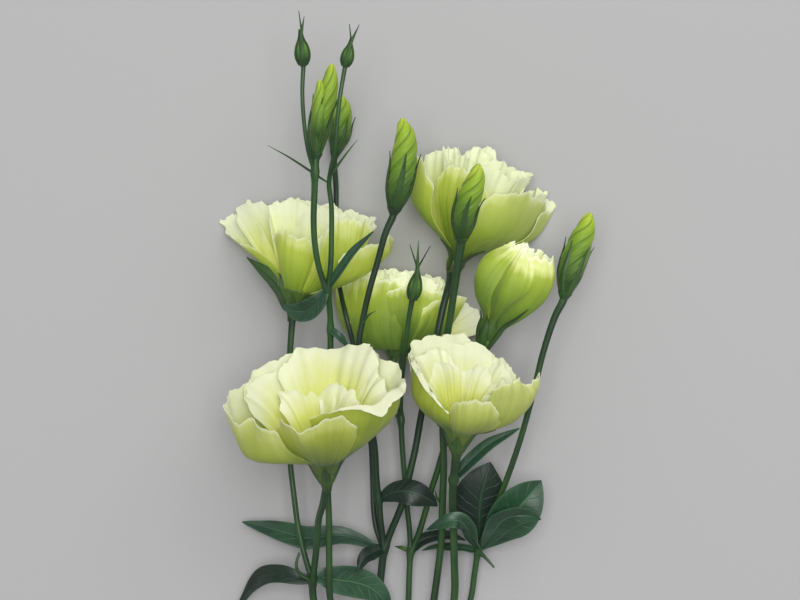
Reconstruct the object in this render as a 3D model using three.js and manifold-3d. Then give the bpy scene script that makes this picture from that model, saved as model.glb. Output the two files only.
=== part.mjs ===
// Lisianthus flowers: a loose bunch of seven branched cut stems lying on a flat surface.
// Millimetres, +Z up. The stems run along +Y towards the flowers. The origin is the flat
// spot under the middle stem, near its cut end.
import * as THREE from 'three';
import Module from 'manifold-3d';
import { mergeVertices } from 'three/addons/utils/BufferGeometryUtils.js';

const wasm = await Module();
wasm.setup();

// Driving dimensions
const PETAL_THICKNESS = 0.7;
const LEAF_THICKNESS = 0.7;
const SEPAL_THICKNESS = 0.9;
const SEAT_GAP = 0.3;
const STEM_SIDES = 6;
const STEM_STEP = 18;
const STRAIGHT_RUN = 14;
const AFTER_RUN = 6;
const FLOOR_BLEND = 3.5;
const FLOOR_LEVEL = 0.45;
const RIM_CURL = 0.25;
const NUDGE = 0.01;
const SPLIT_TOP = 0.4;
const SEPAL_COUNT = 5;
const KEEL_WIDTHS = [0.3, 0.6, 1, 0.12];
const UP = new THREE.Vector3(0, 0, 1);

const GREEN = { stem: 0x3f6a45, shade: 0x33523c };
const PETAL_COLOUR = { cream: 0xdfe6a6, lime: 0xc3d173, bud: 0xa9c23f };

const vec = (p) => new THREE.Vector3(p[0], p[1], p[2]);
const degrees = (angle) => THREE.MathUtils.degToRad(angle);
const smooth = (x) => THREE.MathUtils.smoothstep(x, 0, 1);

// A smooth route through hand-placed points, sampled at even steps
function route(points, step = STEM_STEP) {
  const curve = new THREE.CatmullRomCurve3(points.map(vec));
  const count = Math.max(2, Math.ceil(curve.getLength() / step));
  return curve.getSpacedPoints(count);
}

// Tangent, side and upper direction at each point of a route
function stations(path) {
  return path.map((point, i) => {
    const before = path[Math.max(0, i - 1)];
    const after = path[Math.min(path.length - 1, i + 1)];
    const tangent = after.clone().sub(before).normalize();
    const side = tangent.clone().cross(UP).normalize();
    const upper = side.clone().cross(tangent);
    return { point, tangent, side, upper };
  });
}

function geometryOf(positions, faces) {
  const geometry = new THREE.BufferGeometry();
  geometry.setAttribute('position', new THREE.Float32BufferAttribute(positions, 3));
  geometry.setIndex(faces.flat());
  return geometry;
}

// Rings of equal size joined into one closed body, each ring clockwise seen along the body
function loft(rings) {
  const sides = rings[0].length;
  const faces = [];
  for (let i = 0; i + 1 < rings.length; i += 1) {
    for (let k = 0; k < sides; k += 1) {
      const a = i * sides + k;
      const b = i * sides + ((k + 1) % sides);
      faces.push([a, a + sides, b + sides], [a, b + sides, b]);
    }
  }
  const last = (rings.length - 1) * sides;
  for (let k = 1; k + 1 < sides; k += 1) {
    faces.push([0, k, k + 1], [last, last + k + 1, last + k]);
  }
  return geometryOf(rings.flat().flatMap((point) => point.toArray()), faces);
}

// Corners round a station, every second one drawn in by lobe
function ring(station, radius, sides, turn = 0, lobe = 0) {
  return Array.from({ length: sides }, (_, k) => {
    const angle = (k / sides) * Math.PI * 2 + turn;
    const reach = radius * (k % 2 ? 1 - lobe : 1);
    return station.point.clone()
      .addScaledVector(station.side, reach * Math.cos(angle))
      .addScaledVector(station.upper, reach * Math.sin(angle));
  });
}

// A round stem along a path, its radius changing evenly from one end to the other
function stem(path, startRadius, endRadius, sides = STEM_SIDES) {
  const last = path.length - 1;
  const rings = stations(path).map((station, i) => {
    const radius = THREE.MathUtils.lerp(startRadius, endRadius, i / last);
    return ring(station, radius, sides);
  });
  return loft(rings);
}

function gridNormal(grid, i, j) {
  const down = grid[Math.max(0, i - 1)][j];
  const up = grid[Math.min(grid.length - 1, i + 1)][j];
  const left = grid[i][Math.max(0, j - 1)];
  const right = grid[i][Math.min(grid[0].length - 1, j + 1)];
  const across = right.clone().sub(left);
  return across.cross(up.clone().sub(down)).normalize();
}

// A closed thin body from a grid of points on its middle surface
function sheet(grid, thickness) {
  const rows = grid.length;
  const columns = grid[0].length;
  const positions = [];
  for (const side of [0.5, -0.5]) {
    grid.forEach((line, i) => line.forEach((point, j) => {
      const shifted = point.clone().addScaledVector(gridNormal(grid, i, j), side * thickness);
      positions.push(...shifted.toArray());
    }));
  }
  const under = rows * columns;
  const faces = [];
  for (let i = 0; i + 1 < rows; i += 1) {
    for (let j = 0; j + 1 < columns; j += 1) {
      const a = i * columns + j;
      const b = a + 1;
      const c = b + columns;
      const d = a + columns;
      faces.push([a, b, c], [a, c, d]);
      faces.push([under + a, under + c, under + b], [under + a, under + d, under + c]);
    }
  }
  const border = [];
  for (let j = 0; j < columns; j += 1) border.push(j);
  for (let i = 1; i < rows; i += 1) border.push(i * columns + columns - 1);
  for (let j = columns - 2; j >= 0; j -= 1) border.push((rows - 1) * columns + j);
  for (let i = rows - 2; i > 0; i -= 1) border.push(i * columns);
  border.forEach((p, k) => {
    const q = border[(k + 1) % border.length];
    faces.push([q, p, under + p], [q, under + p, under + q]);
  });
  return geometryOf(positions, faces);
}

// A leaf with a folded midrib and a waved edge. facing is the side the upper face looks to.
function leaf({ spine, halfWidth, facing, endFacing = facing, widest = 0.42, fold = 0.25,
  wave = 0.5, waves = 2, columns = 4, rows = 5, root = 1.1 }) {
  const curve = new THREE.CatmullRomCurve3(spine.map(vec));
  const shape = Math.log(0.5) / Math.log(widest);
  const grid = [];
  for (let i = 0; i <= rows; i += 1) {
    const t = i / rows;
    const point = curve.getPointAt(t);
    const tangent = curve.getTangentAt(t);
    const face = vec(facing).lerp(vec(endFacing), t);
    face.addScaledVector(tangent, -face.dot(tangent)).normalize();
    const side = tangent.clone().cross(face);
    const base = THREE.MathUtils.lerp(root, 0.35, Math.min(1, t * 3));
    const width = halfWidth * Math.sin(Math.PI * t ** shape) ** 0.85 + base;
    const line = [];
    for (let j = 0; j <= columns; j += 1) {
      const u = (2 * j) / columns - 1;
      const ripple = wave * Math.sin(waves * Math.PI * 2 * t + u * 1.3) * u * u * Math.sin(Math.PI * t);
      const lift = Math.abs(u) * width * fold + ripple;
      line.push(point.clone().addScaledVector(side, u * width).addScaledVector(face, lift));
    }
    grid.push(line);
  }
  return sheet(grid, LEAF_THICKNESS);
}

// A narrow pointed blade, flat inside, with a ridge along its outer face
function keeled(path, outwards, halfWidth) {
  const last = path.length - 1;
  return loft(path.map((point, i) => {
    const before = path[Math.max(0, i - 1)];
    const after = path[Math.min(last, i + 1)];
    const tangent = after.clone().sub(before).normalize();
    const outer = outwards[i].clone();
    outer.addScaledVector(tangent, -outer.dot(tangent)).normalize();
    const side = tangent.clone().cross(outer);
    const width = halfWidth * KEEL_WIDTHS[Math.round((i / last) * (KEEL_WIDTHS.length - 1))];
    const inner = point.clone().addScaledVector(outer, -SEPAL_THICKNESS * 0.35);
    return [
      point.clone().addScaledVector(outer, SEPAL_THICKNESS * 0.65),
      inner.clone().addScaledVector(side, -width),
      inner.clone().addScaledVector(side, width),
    ];
  }));
}

function bract(points, halfWidth, facing = [0, 0, 1]) {
  const path = new THREE.CatmullRomCurve3(points.map(vec)).getSpacedPoints(3);
  return keeled(path, path.map(() => vec(facing)), halfWidth);
}

// Flowers.
// A flower has an axis from its seat towards its rim, turned from +Y towards +X by turn
// and tipped up by tilt. Its round form is then flattened: flatUp above the seat's level and
// flatDown below it, with its sides hanging by hangLeft and hangRight at the rim.
function flowerFrame(flower) {
  const turn = degrees(flower.turn);
  const tilt = degrees(flower.tilt);
  const cos = Math.cos(tilt);
  const axis = new THREE.Vector3(Math.sin(turn) * cos, Math.cos(turn) * cos, Math.sin(tilt));
  const right = axis.clone().cross(UP).normalize();
  const front = right.clone().cross(axis);
  return { axis, right, front, seat: vec(flower.seat) };
}

// Lowers a level smoothly towards the surface, never through it
function floorClamp(z) {
  if (z >= FLOOR_BLEND) return z;
  const depth = FLOOR_BLEND - FLOOR_LEVEL;
  return FLOOR_LEVEL + depth * Math.exp((z - FLOOR_BLEND) / depth);
}

// A point of a flower from its angle round the axis, its distance from it and its height
function flowerPoint(flower, frame, angle, radius, height) {
  const point = frame.seat.clone()
    .addScaledVector(frame.axis, height)
    .addScaledVector(frame.right, radius * Math.cos(angle))
    .addScaledVector(frame.front, radius * Math.sin(angle));
  const rise = point.z - frame.seat.z;
  const sideways = (radius * Math.cos(angle)) / flower.radius;
  const hang = (sideways < 0 ? flower.hangLeft : flower.hangRight) * sideways * sideways;
  point.z = frame.seat.z + rise * (rise > 0 ? flower.flatUp : flower.flatDown) - hang;
  point.z = floorClamp(point.z);
  return point;
}

// Radius and height of a petal's middle line at s, from 0 at its root to 1 at its rim
function petalProfile(flower, petal, angle, s) {
  const reach = petal.reach * flower.radius * (1 + 0.05 * Math.sin(2 * angle + petal.phase));
  const tall = petal.tall * flower.height * (1 + 0.04 * Math.sin(3 * angle + 2 * petal.phase));
  const belly = petal.belly * flower.radius * Math.sin(Math.PI * s);
  const curled = petal.curl * smooth(0.5 + 0.7 * Math.sin(angle));
  const curl = curled * s ** 5;
  const open = reach * (1 - RIM_CURL * curled) - petal.root;
  return {
    radius: petal.root + open * s ** petal.open + belly + curl * reach * RIM_CURL,
    height: petal.lift + (tall - petal.lift) * s - curl * tall * RIM_CURL,
  };
}

// A petal's point, moved along its profile's normal so that neighbours lap and rims ruffle
function petalPoint(flower, frame, petal, angle, u, s) {
  const here = petalProfile(flower, petal, angle, s);
  const ahead = petalProfile(flower, petal, angle, s + 0.01);
  const slope = Math.atan2(ahead.radius - here.radius, ahead.height - here.height);
  const ruffle = petal.wave * s * s * Math.sin(petal.ruffles * angle + petal.phase);
  const shift = petal.lap * u * smooth((s - SPLIT_TOP) / 0.3) + ruffle;
  const radius = here.radius + shift * Math.cos(slope);
  return flowerPoint(flower, frame, angle, radius, here.height - shift * Math.sin(slope));
}

// Two points of a petal, half its thickness outside and inside its middle surface
function petalSkins(flower, frame, petal, angle, u, s) {
  const at = (da, ds) => petalPoint(flower, frame, petal, angle + da, u, Math.max(0, s + ds));
  const across = at(NUDGE, 0).sub(at(-NUDGE, 0));
  const along = at(0, NUDGE).sub(at(0, s > NUDGE ? -NUDGE : 0));
  const normal = across.cross(along).normalize();
  const point = petalPoint(flower, frame, petal, angle, u, s);
  return [-0.5, 0.5].map((side) => point.clone().addScaledVector(normal, side * PETAL_THICKNESS));
}

// Petals stand side by side on their common foot and lap a little above it
function petalSpread(s) {
  return s < SPLIT_TOP ? 1 : THREE.MathUtils.lerp(0.95, 1.07, smooth((s - SPLIT_TOP) / 0.4));
}

// One whorl as a closed body: a solid foot up to its first level, then separate petals
function whorlSolid(flower, frame, whorl, random) {
  const phase = random() * Math.PI * 2;
  const centres = Array.from({ length: whorl.count }, (_, k) => (
    degrees(whorl.start + (k * 360) / whorl.count + (random() - 0.5) * 8)
  ));
  const petal = { ...whorl, phase };
  const { columns, levels } = whorl;
  const top = levels.length - 1;
  const positions = [];
  const faces = [];
  const footOuter = [];
  const footInner = [];
  centres.forEach((centre, k) => {
    const previous = k === 0 ? centres.at(-1) - 2 * Math.PI : centres[k - 1];
    const next = k === centres.length - 1 ? centres[0] + 2 * Math.PI : centres[k + 1];
    const first = positions.length / 3;
    const outer = (i, j) => first + 2 * (i * (columns + 1) + j);
    const inner = (i, j) => outer(i, j) + 1;
    levels.forEach((level) => {
      for (let j = 0; j <= columns; j += 1) {
        const u = (2 * j) / columns - 1;
        const s = level * (1 - petal.round * Math.abs(u) ** 3);
        const reachTo = u < 0 ? (centre - previous) / 2 : (next - centre) / 2;
        const angle = centre + u * reachTo * petalSpread(s);
        petalSkins(flower, frame, petal, angle, u, s).forEach((point) => {
          positions.push(...point.toArray());
        });
      }
    });
    for (let i = 0; i < top; i += 1) {
      for (let j = 0; j < columns; j += 1) {
        faces.push([outer(i, j), outer(i + 1, j + 1), outer(i, j + 1)]);
        faces.push([outer(i, j), outer(i + 1, j), outer(i + 1, j + 1)]);
        if (i > 0) {
          faces.push([inner(i, j), inner(i, j + 1), inner(i + 1, j + 1)]);
          faces.push([inner(i, j), inner(i + 1, j + 1), inner(i + 1, j)]);
        }
      }
      if (i > 0) {
        faces.push([outer(i, 0), inner(i + 1, 0), outer(i + 1, 0)]);
        faces.push([outer(i, 0), inner(i, 0), inner(i + 1, 0)]);
        faces.push([outer(i, columns), outer(i + 1, columns), inner(i + 1, columns)]);
        faces.push([outer(i, columns), inner(i + 1, columns), inner(i, columns)]);
      }
    }
    for (let j = 0; j < columns; j += 1) {
      faces.push([outer(top, j), inner(top, j + 1), outer(top, j + 1)]);
      faces.push([outer(top, j), inner(top, j), inner(top, j + 1)]);
      footOuter.push(outer(0, j));
      footInner.push(inner(1, j));
    }
  });
  for (let k = 1; k + 1 < footOuter.length; k += 1) {
    faces.push([footOuter[0], footOuter[k], footOuter[k + 1]]);
    faces.push([footInner[0], footInner[k + 1], footInner[k]]);
  }
  return geometryOf(positions, faces);
}

function seeded(seed) {
  let state = seed;
  return () => {
    state = (state * 16807) % 2147483647;
    return state / 2147483647;
  };
}

// Joins bodies into one solid and keeps its outer body alone
function union(geometries) {
  const solids = geometries.map((geometry) => {
    const bare = new THREE.BufferGeometry();
    bare.setAttribute('position', geometry.getAttribute('position'));
    bare.setIndex(geometry.getIndex());
    const merged = mergeVertices(bare);
    return new wasm.Manifold(new wasm.Mesh({
      numProp: 3,
      vertProperties: new Float32Array(merged.getAttribute('position').array),
      triVerts: new Uint32Array(merged.getIndex().array),
    }));
  });
  const joined = solids.reduce((all, solid) => all.add(solid));
  const pieces = joined.decompose().sort((a, b) => b.volume() - a.volume());
  const { vertProperties, triVerts } = pieces[0].getMesh();
  return geometryOf([...vertProperties], [[...triVerts]]);
}

function flowerRing(flower, frame, radius, height, sides) {
  return Array.from({ length: sides }, (_, k) => (
    flowerPoint(flower, frame, (k / sides) * Math.PI * 2, radius, height)
  ));
}

function flowerBloom(flower) {
  const frame = flowerFrame(flower);
  const random = seeded(flower.seed);
  return union(flower.whorls.map((whorl) => whorlSolid(flower, frame, whorl, random)));
}

// The green foot of a flower with its five sepals, fused to the stem
function flowerCalyx(flower) {
  const frame = flowerFrame(flower);
  const outer = { ...flower.whorls[0], phase: 0 };
  const foot = [[-5, 1.4], [-2, 2.8], [-SEAT_GAP - 0.1, 3.4]];
  const receptacle = loft(foot.map(([height, radius]) => flowerRing(flower, frame, radius, height, 6)));
  const sepals = Array.from({ length: SEPAL_COUNT }, (_, k) => {
    const angle = degrees(flower.sepalStart + (k * 360) / SEPAL_COUNT);
    const places = [[2.7, -1.4]];
    for (const s of [0.06, 0.24, 0.44]) {
      const { radius, height } = petalProfile(flower, outer, angle, s);
      places.push([radius + 2.6 + 3 * s, height]);
    }
    const path = places.map(([radius, height]) => flowerPoint(flower, frame, angle, radius, height));
    const outwards = places.map(([radius, height], i) => (
      flowerPoint(flower, frame, angle, radius + 1, height - 0.6).sub(path[i])
    ));
    return keeled(path, outwards, 2);
  });
  return [receptacle, ...sepals];
}

// Buds.
// A bud's rolled petals: a spindle along its axis with five ridges that turn as they rise.
const BUD_RADII = [0.42, 0.86, 1, 1, 0.95, 0.86, 0.66, 0.3];
const CLOSED_BUD_RADII = [0.42, 0.84, 1, 0.97, 0.88, 0.72, 0.5, 0.2];
const BUD_SIDES = 10;
const RIDGE_HEIGHT = 0.16;
const TWIST_POWER = 1.3;

function budRings(bud, sides, shares) {
  const path = new THREE.CatmullRomCurve3(bud.axis.map(vec)).getSpacedPoints(shares.length - 1);
  return stations(path).map((station, i) => ({ station, radius: bud.radius * shares[i], sides }));
}

function budPetals(bud) {
  const rings = budRings(bud, BUD_SIDES, BUD_RADII);
  const turns = rings.map((_, i) => -((i / (rings.length - 1)) ** TWIST_POWER) * degrees(bud.twist));
  return loft(rings.map(({ station, radius, sides }, i) => (
    ring(station, radius, sides, turns[i], i === 0 ? 0 : RIDGE_HEIGHT)
  )));
}

// The green foot of a bud and the sepals that clasp it
function budCalyx(bud) {
  const rings = budRings(bud, BUD_SIDES, BUD_RADII);
  const { station: base } = rings[0];
  const foot = [-4.5, -1.6, -SEAT_GAP].map((h) => base.point.clone().addScaledVector(base.tangent, h));
  const footRadii = [1.1, 0.4 * bud.radius + 0.5, 0.42 * bud.radius + 1];
  const receptacle = loft(foot.map((point, i) => ring({ ...base, point }, footRadii[i], 6)));
  const sepals = Array.from({ length: SEPAL_COUNT }, (_, k) => {
    const angle = degrees(bud.sepalStart + (k * 360) / SEPAL_COUNT);
    const picked = [0, 1, 2, 4].map((i) => rings[i]);
    const outwards = picked.map(({ station }) => (
      station.side.clone().multiplyScalar(Math.cos(angle)).addScaledVector(station.upper, Math.sin(angle))
    ));
    const clear = SEAT_GAP + SEPAL_THICKNESS * 0.35 + 0.25;
    const path = picked.map(({ station, radius }, i) => (
      station.point.clone().addScaledVector(outwards[i], radius + clear + 0.15 * i)
    ));
    const root = base.point.clone()
      .addScaledVector(outwards[0], 0.5 * bud.radius)
      .addScaledVector(base.tangent, -1.2);
    return keeled([root, ...path], [outwards[0], ...outwards], 0.34 * bud.radius);
  });
  return [receptacle, ...sepals];
}

// A small green bud, closed and part of its stem, with thin sepal tips above it
function closedBud(bud) {
  const rings = budRings(bud, STEM_SIDES, CLOSED_BUD_RADII);
  const body = loft(rings.map(({ station, radius, sides }) => ring(station, radius, sides, 0, 0.12)));
  const tips = bud.tips.map((tip) => bract([bud.axis.at(-2), bud.axis.at(-1), tip], 0.55));
  return [body, ...tips];
}

const WHORL = {
  outer: {
    count: 5, start: 54, root: 2.4, lift: 0, reach: 1, tall: 0.94, open: 0.8, belly: 0, curl: 0.9,
    wave: 1.6, ruffles: 6, lap: 0.7, round: 0.16, columns: 6, levels: [0, 0.2, 0.46, 0.74, 1],
  },
  middle: {
    count: 5, start: 18, root: 1.3, lift: 1.5, reach: 0.72, tall: 1.02, open: 0.85, belly: 0, curl: 0.35,
    wave: 1.5, ruffles: 7, lap: 0.6, round: 0.14, columns: 5, levels: [0, 0.29, 0.63, 1],
  },
  inner: {
    count: 4, start: 40, root: 0.7, lift: 3, reach: 0.38, tall: 0.98, open: 0.9, belly: 0, curl: 0.2,
    wave: 1.1, ruffles: 5, lap: 0.5, round: 0.12, columns: 5, levels: [0, 0.38, 0.68, 1],
  },
};

const FLOWERS = {
  front_left: {
    seat: [-33.5, 175, 72], turn: -4.5, tilt: 27, height: 47.6, radius: 41, seed: 11,
    flatUp: 0.72, flatDown: 0.7, hangLeft: 0, hangRight: 0, sepalStart: 20,
    whorls: [WHORL.outer, WHORL.middle, WHORL.inner],
  },
  front_right: {
    seat: [26.5, 188.5, 60], turn: 6.7, tilt: 28, height: 40, radius: 32, seed: 23,
    flatUp: 0.72, flatDown: 0.6, hangLeft: 0, hangRight: 0, sepalStart: 50,
    whorls: [
      { ...WHORL.outer, start: 90 }, { ...WHORL.middle, tall: 1.08 }, { ...WHORL.inner, tall: 1.06 },
    ],
  },
  back_left: {
    seat: [-49, 252, 33], turn: 11, tilt: 10, height: 43, radius: 40.5, seed: 37,
    flatUp: 0.6, flatDown: 0.6, hangLeft: 30, hangRight: 6, sepalStart: 162,
    whorls: [WHORL.outer, { ...WHORL.middle, count: 4, start: 60 }],
  },
  back_right: {
    seat: [26, 270.5, 31], turn: 17.5, tilt: 5, height: 50, radius: 33.5, seed: 41,
    flatUp: 0.5, flatDown: 0.86, hangLeft: 6, hangRight: 28, sepalStart: 10,
    whorls: [{ ...WHORL.outer, open: 0.6, belly: 0.1, curl: 0.15, start: 100 },
      { ...WHORL.middle, tall: 1.08, reach: 0.74 }, { ...WHORL.inner, tall: 1.05 }],
  },
  middle: {
    seat: [-1.4, 225, 20], turn: 7, tilt: 2, height: 43, radius: 36, seed: 53,
    flatUp: 0.42, flatDown: 0.62, hangLeft: 16, hangRight: 10, sepalStart: 24,
    whorls: [{ ...WHORL.outer, open: 0.7 }, { ...WHORL.middle, count: 4, start: 50 }],
  },
  half_open: {
    seat: [39.5, 235, 48], turn: 23, tilt: 14, height: 46.6, radius: 18.9, seed: 67,
    flatUp: 0.75, flatDown: 0.75, hangLeft: 0, hangRight: 0, sepalStart: 330,
    whorls: [{ ...WHORL.outer, count: 4, reach: 0.9, open: 0.7, belly: 0.24, curl: 0,
      wave: 0.7, start: 70 },
      { ...WHORL.middle, count: 3, reach: 0.6, tall: 1, belly: 0.14, curl: 0, wave: 0.9, start: 20 }],
  },
};

// Buds with their petals showing, each with the route of its own middle line
const BUDS = {
  tall_left: {
    axis: [[-37.5, 319.5, 79], [-35.5, 334, 80], [-32, 347.5, 82], [-29.5, 359, 83]],
    radius: 4.9, twist: 110, sepalStart: 30,
  },
  low_left: {
    axis: [[-30.5, 324.5, 11], [-28, 336.5, 14], [-26.5, 350.5, 16]],
    radius: 5.2, twist: 120, sepalStart: 60,
  },
  centre: {
    axis: [[-2.5, 295.5, 61], [0, 308, 63], [2.3, 321.5, 65], [2.8, 336, 66]],
    radius: 6.3, twist: 170, sepalStart: 300,
  },
  front: {
    axis: [[28, 282, 62], [29.5, 294.5, 66], [33.5, 305.5, 70], [36.5, 314.5, 73]],
    radius: 5.8, twist: 130, sepalStart: 12,
  },
  right: {
    axis: [[76, 257, 50], [79.2, 269.5, 51.5], [84, 283, 53], [88.5, 293, 54]],
    radius: 6.1, twist: 150, sepalStart: 340,
  },
};

const CLOSED_BUDS = {
  left_tip: {
    axis: [[-43, 357.5, 88], [-43.5, 365, 89], [-44.5, 374, 90]],
    radius: 3.5, tips: [[-45, 382, 91], [-42.5, 379.5, 92]],
  },
  right_tip: {
    axis: [[-24.5, 357, 89], [-23, 363, 90], [-21.5, 370, 91]],
    radius: 2.9, tips: [[-22.5, 376, 92], [-18, 376, 91]],
  },
  small: {
    axis: [[5.5, 253, 43], [7, 260, 44], [8.5, 270, 45]],
    radius: 3.4, tips: [[4.5, 279, 47], [8.5, 281, 46], [14, 278.5, 46]],
  },
};

// A branch: its route, its radius at both ends and the flower or bud that it carries
const branch = (path, radius, carries) => ({ path, radius, carries });

// Each stem: its cut foot (x, y and the level of its underside), the radius of its main run at
// both ends, its route, its branches, its leaves and its bracts
const STEMS = {
  stem_a: {
    foot: [-7.9, -4, 0], radius: [2, 1.75],
    main: [[-15, 35, 6], [-29, 76, 15], [-40.5, 112.5, 25], [-41, 123, 28]],
    branches: [
      branch([[-41, 122, 28], [-44, 131.5, 28], [-47.5, 146, 28], [-50, 164.5, 28], [-51.5, 178.5, 28],
        [-52, 206.5, 28], [-51.5, 228, 30]], [1.3, 1.3], 'back_left'),
      branch([[-41, 122, 28], [-39, 137, 36], [-37.5, 152, 49], [-35, 161, 62]], [1.5, 1.4], 'front_left'),
      branch([[-42, 122, 28], [-47, 125.5, 30], [-48.5, 129.5, 31], [-47, 135.5, 31]], [0.9, 0.6]),
    ],
    leaves: [
      { spine: [[-41.5, 122, 28], [-48, 123.5, 29], [-55.5, 125, 27], [-63, 124, 22], [-69, 119, 14],
        [-74, 112, 9], [-78.5, 104, 6]], halfWidth: 4.2, facing: [0, 0.3, 1], endFacing: [-0.8, 0.2, 0.6] },
      { spine: [[-40.5, 123, 28], [-35.5, 123.5, 27], [-29, 122, 25], [-21.5, 120.5, 21], [-14, 117.5, 18],
        [-8, 111.5, 16], [-5, 103.5, 12]], halfWidth: 7, facing: [0, 0.2, 1], endFacing: [0.5, 0.1, 0.9] },
    ],
  },
  stem_b: {
    foot: [-5.9, 3, 4.1], radius: [1.6, 1.4],
    main: [[-9, 40, 9], [-22, 76, 20], [-32.5, 113, 30], [-33, 132.5, 34.5], [-33, 151.5, 38],
      [-33.5, 168.5, 41], [-32.5, 207.5, 46.5], [-32, 233, 50], [-32, 246.5, 54.5], [-33, 259, 61]],
    branches: [
      branch([[-33, 257, 60.5], [-36.5, 267, 65], [-38.5, 278.5, 69], [-39, 289.5, 72], [-38.5, 303, 75]],
        [1.3, 1.3], 'tall_left'),
      branch([[-38.4, 311, 76.5], [-41, 320, 84], [-42.7, 332, 87], [-43.5, 346, 88]],
        [0.9, 0.75], 'left_tip'),
      branch([[-33, 257, 60.5], [-31.5, 269.5, 65], [-31, 283, 69], [-31, 296.5, 73], [-32, 305.5, 75.5],
        [-31, 312, 80], [-29, 320, 86], [-28, 332, 89], [-26.5, 345, 90]], [1.3, 0.75], 'right_tip'),
    ],
    leaves: [
      { spine: [[-32.5, 259, 61.5], [-26.5, 268, 68], [-20.5, 276, 71], [-12, 284.5, 70]], halfWidth: 2.2,
        facing: [-0.5, 0.6, 1], rows: 4, columns: 2, root: 0.9, wave: 0.2 },
      { spine: [[-33.5, 258.5, 61.5], [-37.5, 252.5, 61], [-43, 248.5, 57], [-48.5, 248.5, 53],
        [-53.5, 251, 50]],
        halfWidth: 4.6, facing: [-0.2, -0.3, 1], endFacing: [-0.3, 0.2, 1], fold: 0.35, widest: 0.5 },
      { spine: [[-31.8, 240, 53], [-28, 237, 54], [-24, 232, 51]], halfWidth: 1.6, facing: [0.3, 0.3, 1],
        rows: 3, root: 0.8, wave: 0.1, columns: 2 },
    ],
    bracts: [
      [[[-32, 306, 75.6], [-39.5, 311, 73], [-49.5, 317.5, 75.5], [-59.5, 323, 79]], 1],
      [[[-31.4, 309, 78], [-25, 318, 79], [-19, 325.5, 80]], 0.9],
    ],
  },
  stem_c: {
    foot: [-3.7, -9, 0], radius: [1.8, 1.8],
    main: [[-5.5, 35, 3.5], [-8, 76, 7], [-10, 111, 11], [-9, 123, 13], [-7.5, 137, 16.5]],
    branches: [
      branch([[-7.5, 135.5, 16.4], [-11, 144.5, 15], [-12.5, 154, 14.5], [-13, 168.5, 15], [-14, 187.5, 17],
        [-18, 208.5, 20], [-22, 232.5, 24], [-25.5, 246.5, 25], [-28, 257, 19], [-30, 270, 10],
        [-30.5, 284, 6],
        [-30.5, 296, 5], [-30.5, 308, 6.5]], [1.2, 1.1], 'low_left'),
      branch([[-7.5, 135.5, 16.4], [-9, 147.5, 20], [-10, 159.5, 24], [-11, 169, 27], [-12, 186, 32],
        [-16, 207, 39], [-19, 232.5, 46], [-17, 245, 49], [-14, 258, 53], [-10, 272, 56],
        [-6.5, 284.5, 59]],
      [1.5, 1.3], 'centre'),
      branch([[-7.5, 135.5, 16.4], [-4, 145, 19], [-0.5, 153.5, 22], [2, 160.5, 24], [4, 170, 26],
        [7, 183, 28],
        [10, 200, 31], [13.5, 218.5, 36], [17, 236, 40], [19.5, 248, 41], [21.8, 257, 38.5]], [1.6, 1.5],
      'back_right'),
    ],
    leaves: [
      { spine: [[-8.5, 137, 17], [-14, 138, 17], [-20, 140.5, 18], [-28, 142.5, 19], [-36, 142, 19],
        [-44, 141, 17.5], [-53, 143, 15], [-61, 145, 12.5], [-68.5, 146.5, 11], [-75, 148, 10]],
      halfWidth: 5.2, facing: [0, 0.25, 1], rows: 8, widest: 0.55 },
      { spine: [[-7.5, 136, 17], [-12.5, 134.5, 20], [-16.5, 132, 23], [-20, 126, 25]], halfWidth: 3.6,
        facing: [-0.3, 0.4, 1], rows: 4 },
      { spine: [[-10, 159.5, 24], [-6.5, 162, 28], [-1.5, 164, 31], [4, 164, 33], [9.5, 162.5, 33],
        [14, 160, 31],
        [17.5, 157, 28.5]], halfWidth: 5.8, facing: [0, 0.2, 1], widest: 0.55, fold: -0.2 },
    ],
    bracts: [[[[-17.6, 242, 48.6], [-14.5, 246.5, 52.5], [-11, 248.5, 53]], 0.8]],
  },
  stem_d: {
    foot: [0, -8, 0], radius: [1.5, 1.4],
    main: [[0.8, 35, 2.5], [2.4, 76, 5.5], [4, 111, 10], [4.5, 125.5, 12], [5, 135, 13]],
    branches: [
      branch([[5, 133.5, 13], [4.5, 144.5, 14.5], [3.5, 154, 16], [2.5, 166, 17.5], [1, 185, 20],
        [0.3, 199.5, 21.5]],
        [1.2, 1.3], 'middle'),
      branch([[0.4, 197, 21.2], [0.6, 208, 26], [1, 216, 30], [2, 225.5, 34], [3, 235, 38], [4, 244.5, 41]],
        [0.9, 0.9], 'small'),
      branch([[5, 133.5, 13], [8.5, 142, 15], [12, 153.5, 18], [14.5, 163, 20], [18, 174.5, 23],
        [24.5, 197.5, 28], [31.5, 216, 35], [35, 223.5, 41]], [1.4, 1.4], 'half_open'),
    ],
    leaves: [
      { spine: [[5.5, 134.5, 13.5], [10.5, 139.5, 14.5], [17, 141.5, 13.5], [24.5, 141.5, 12.5],
        [31, 139.5, 12]],
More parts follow.
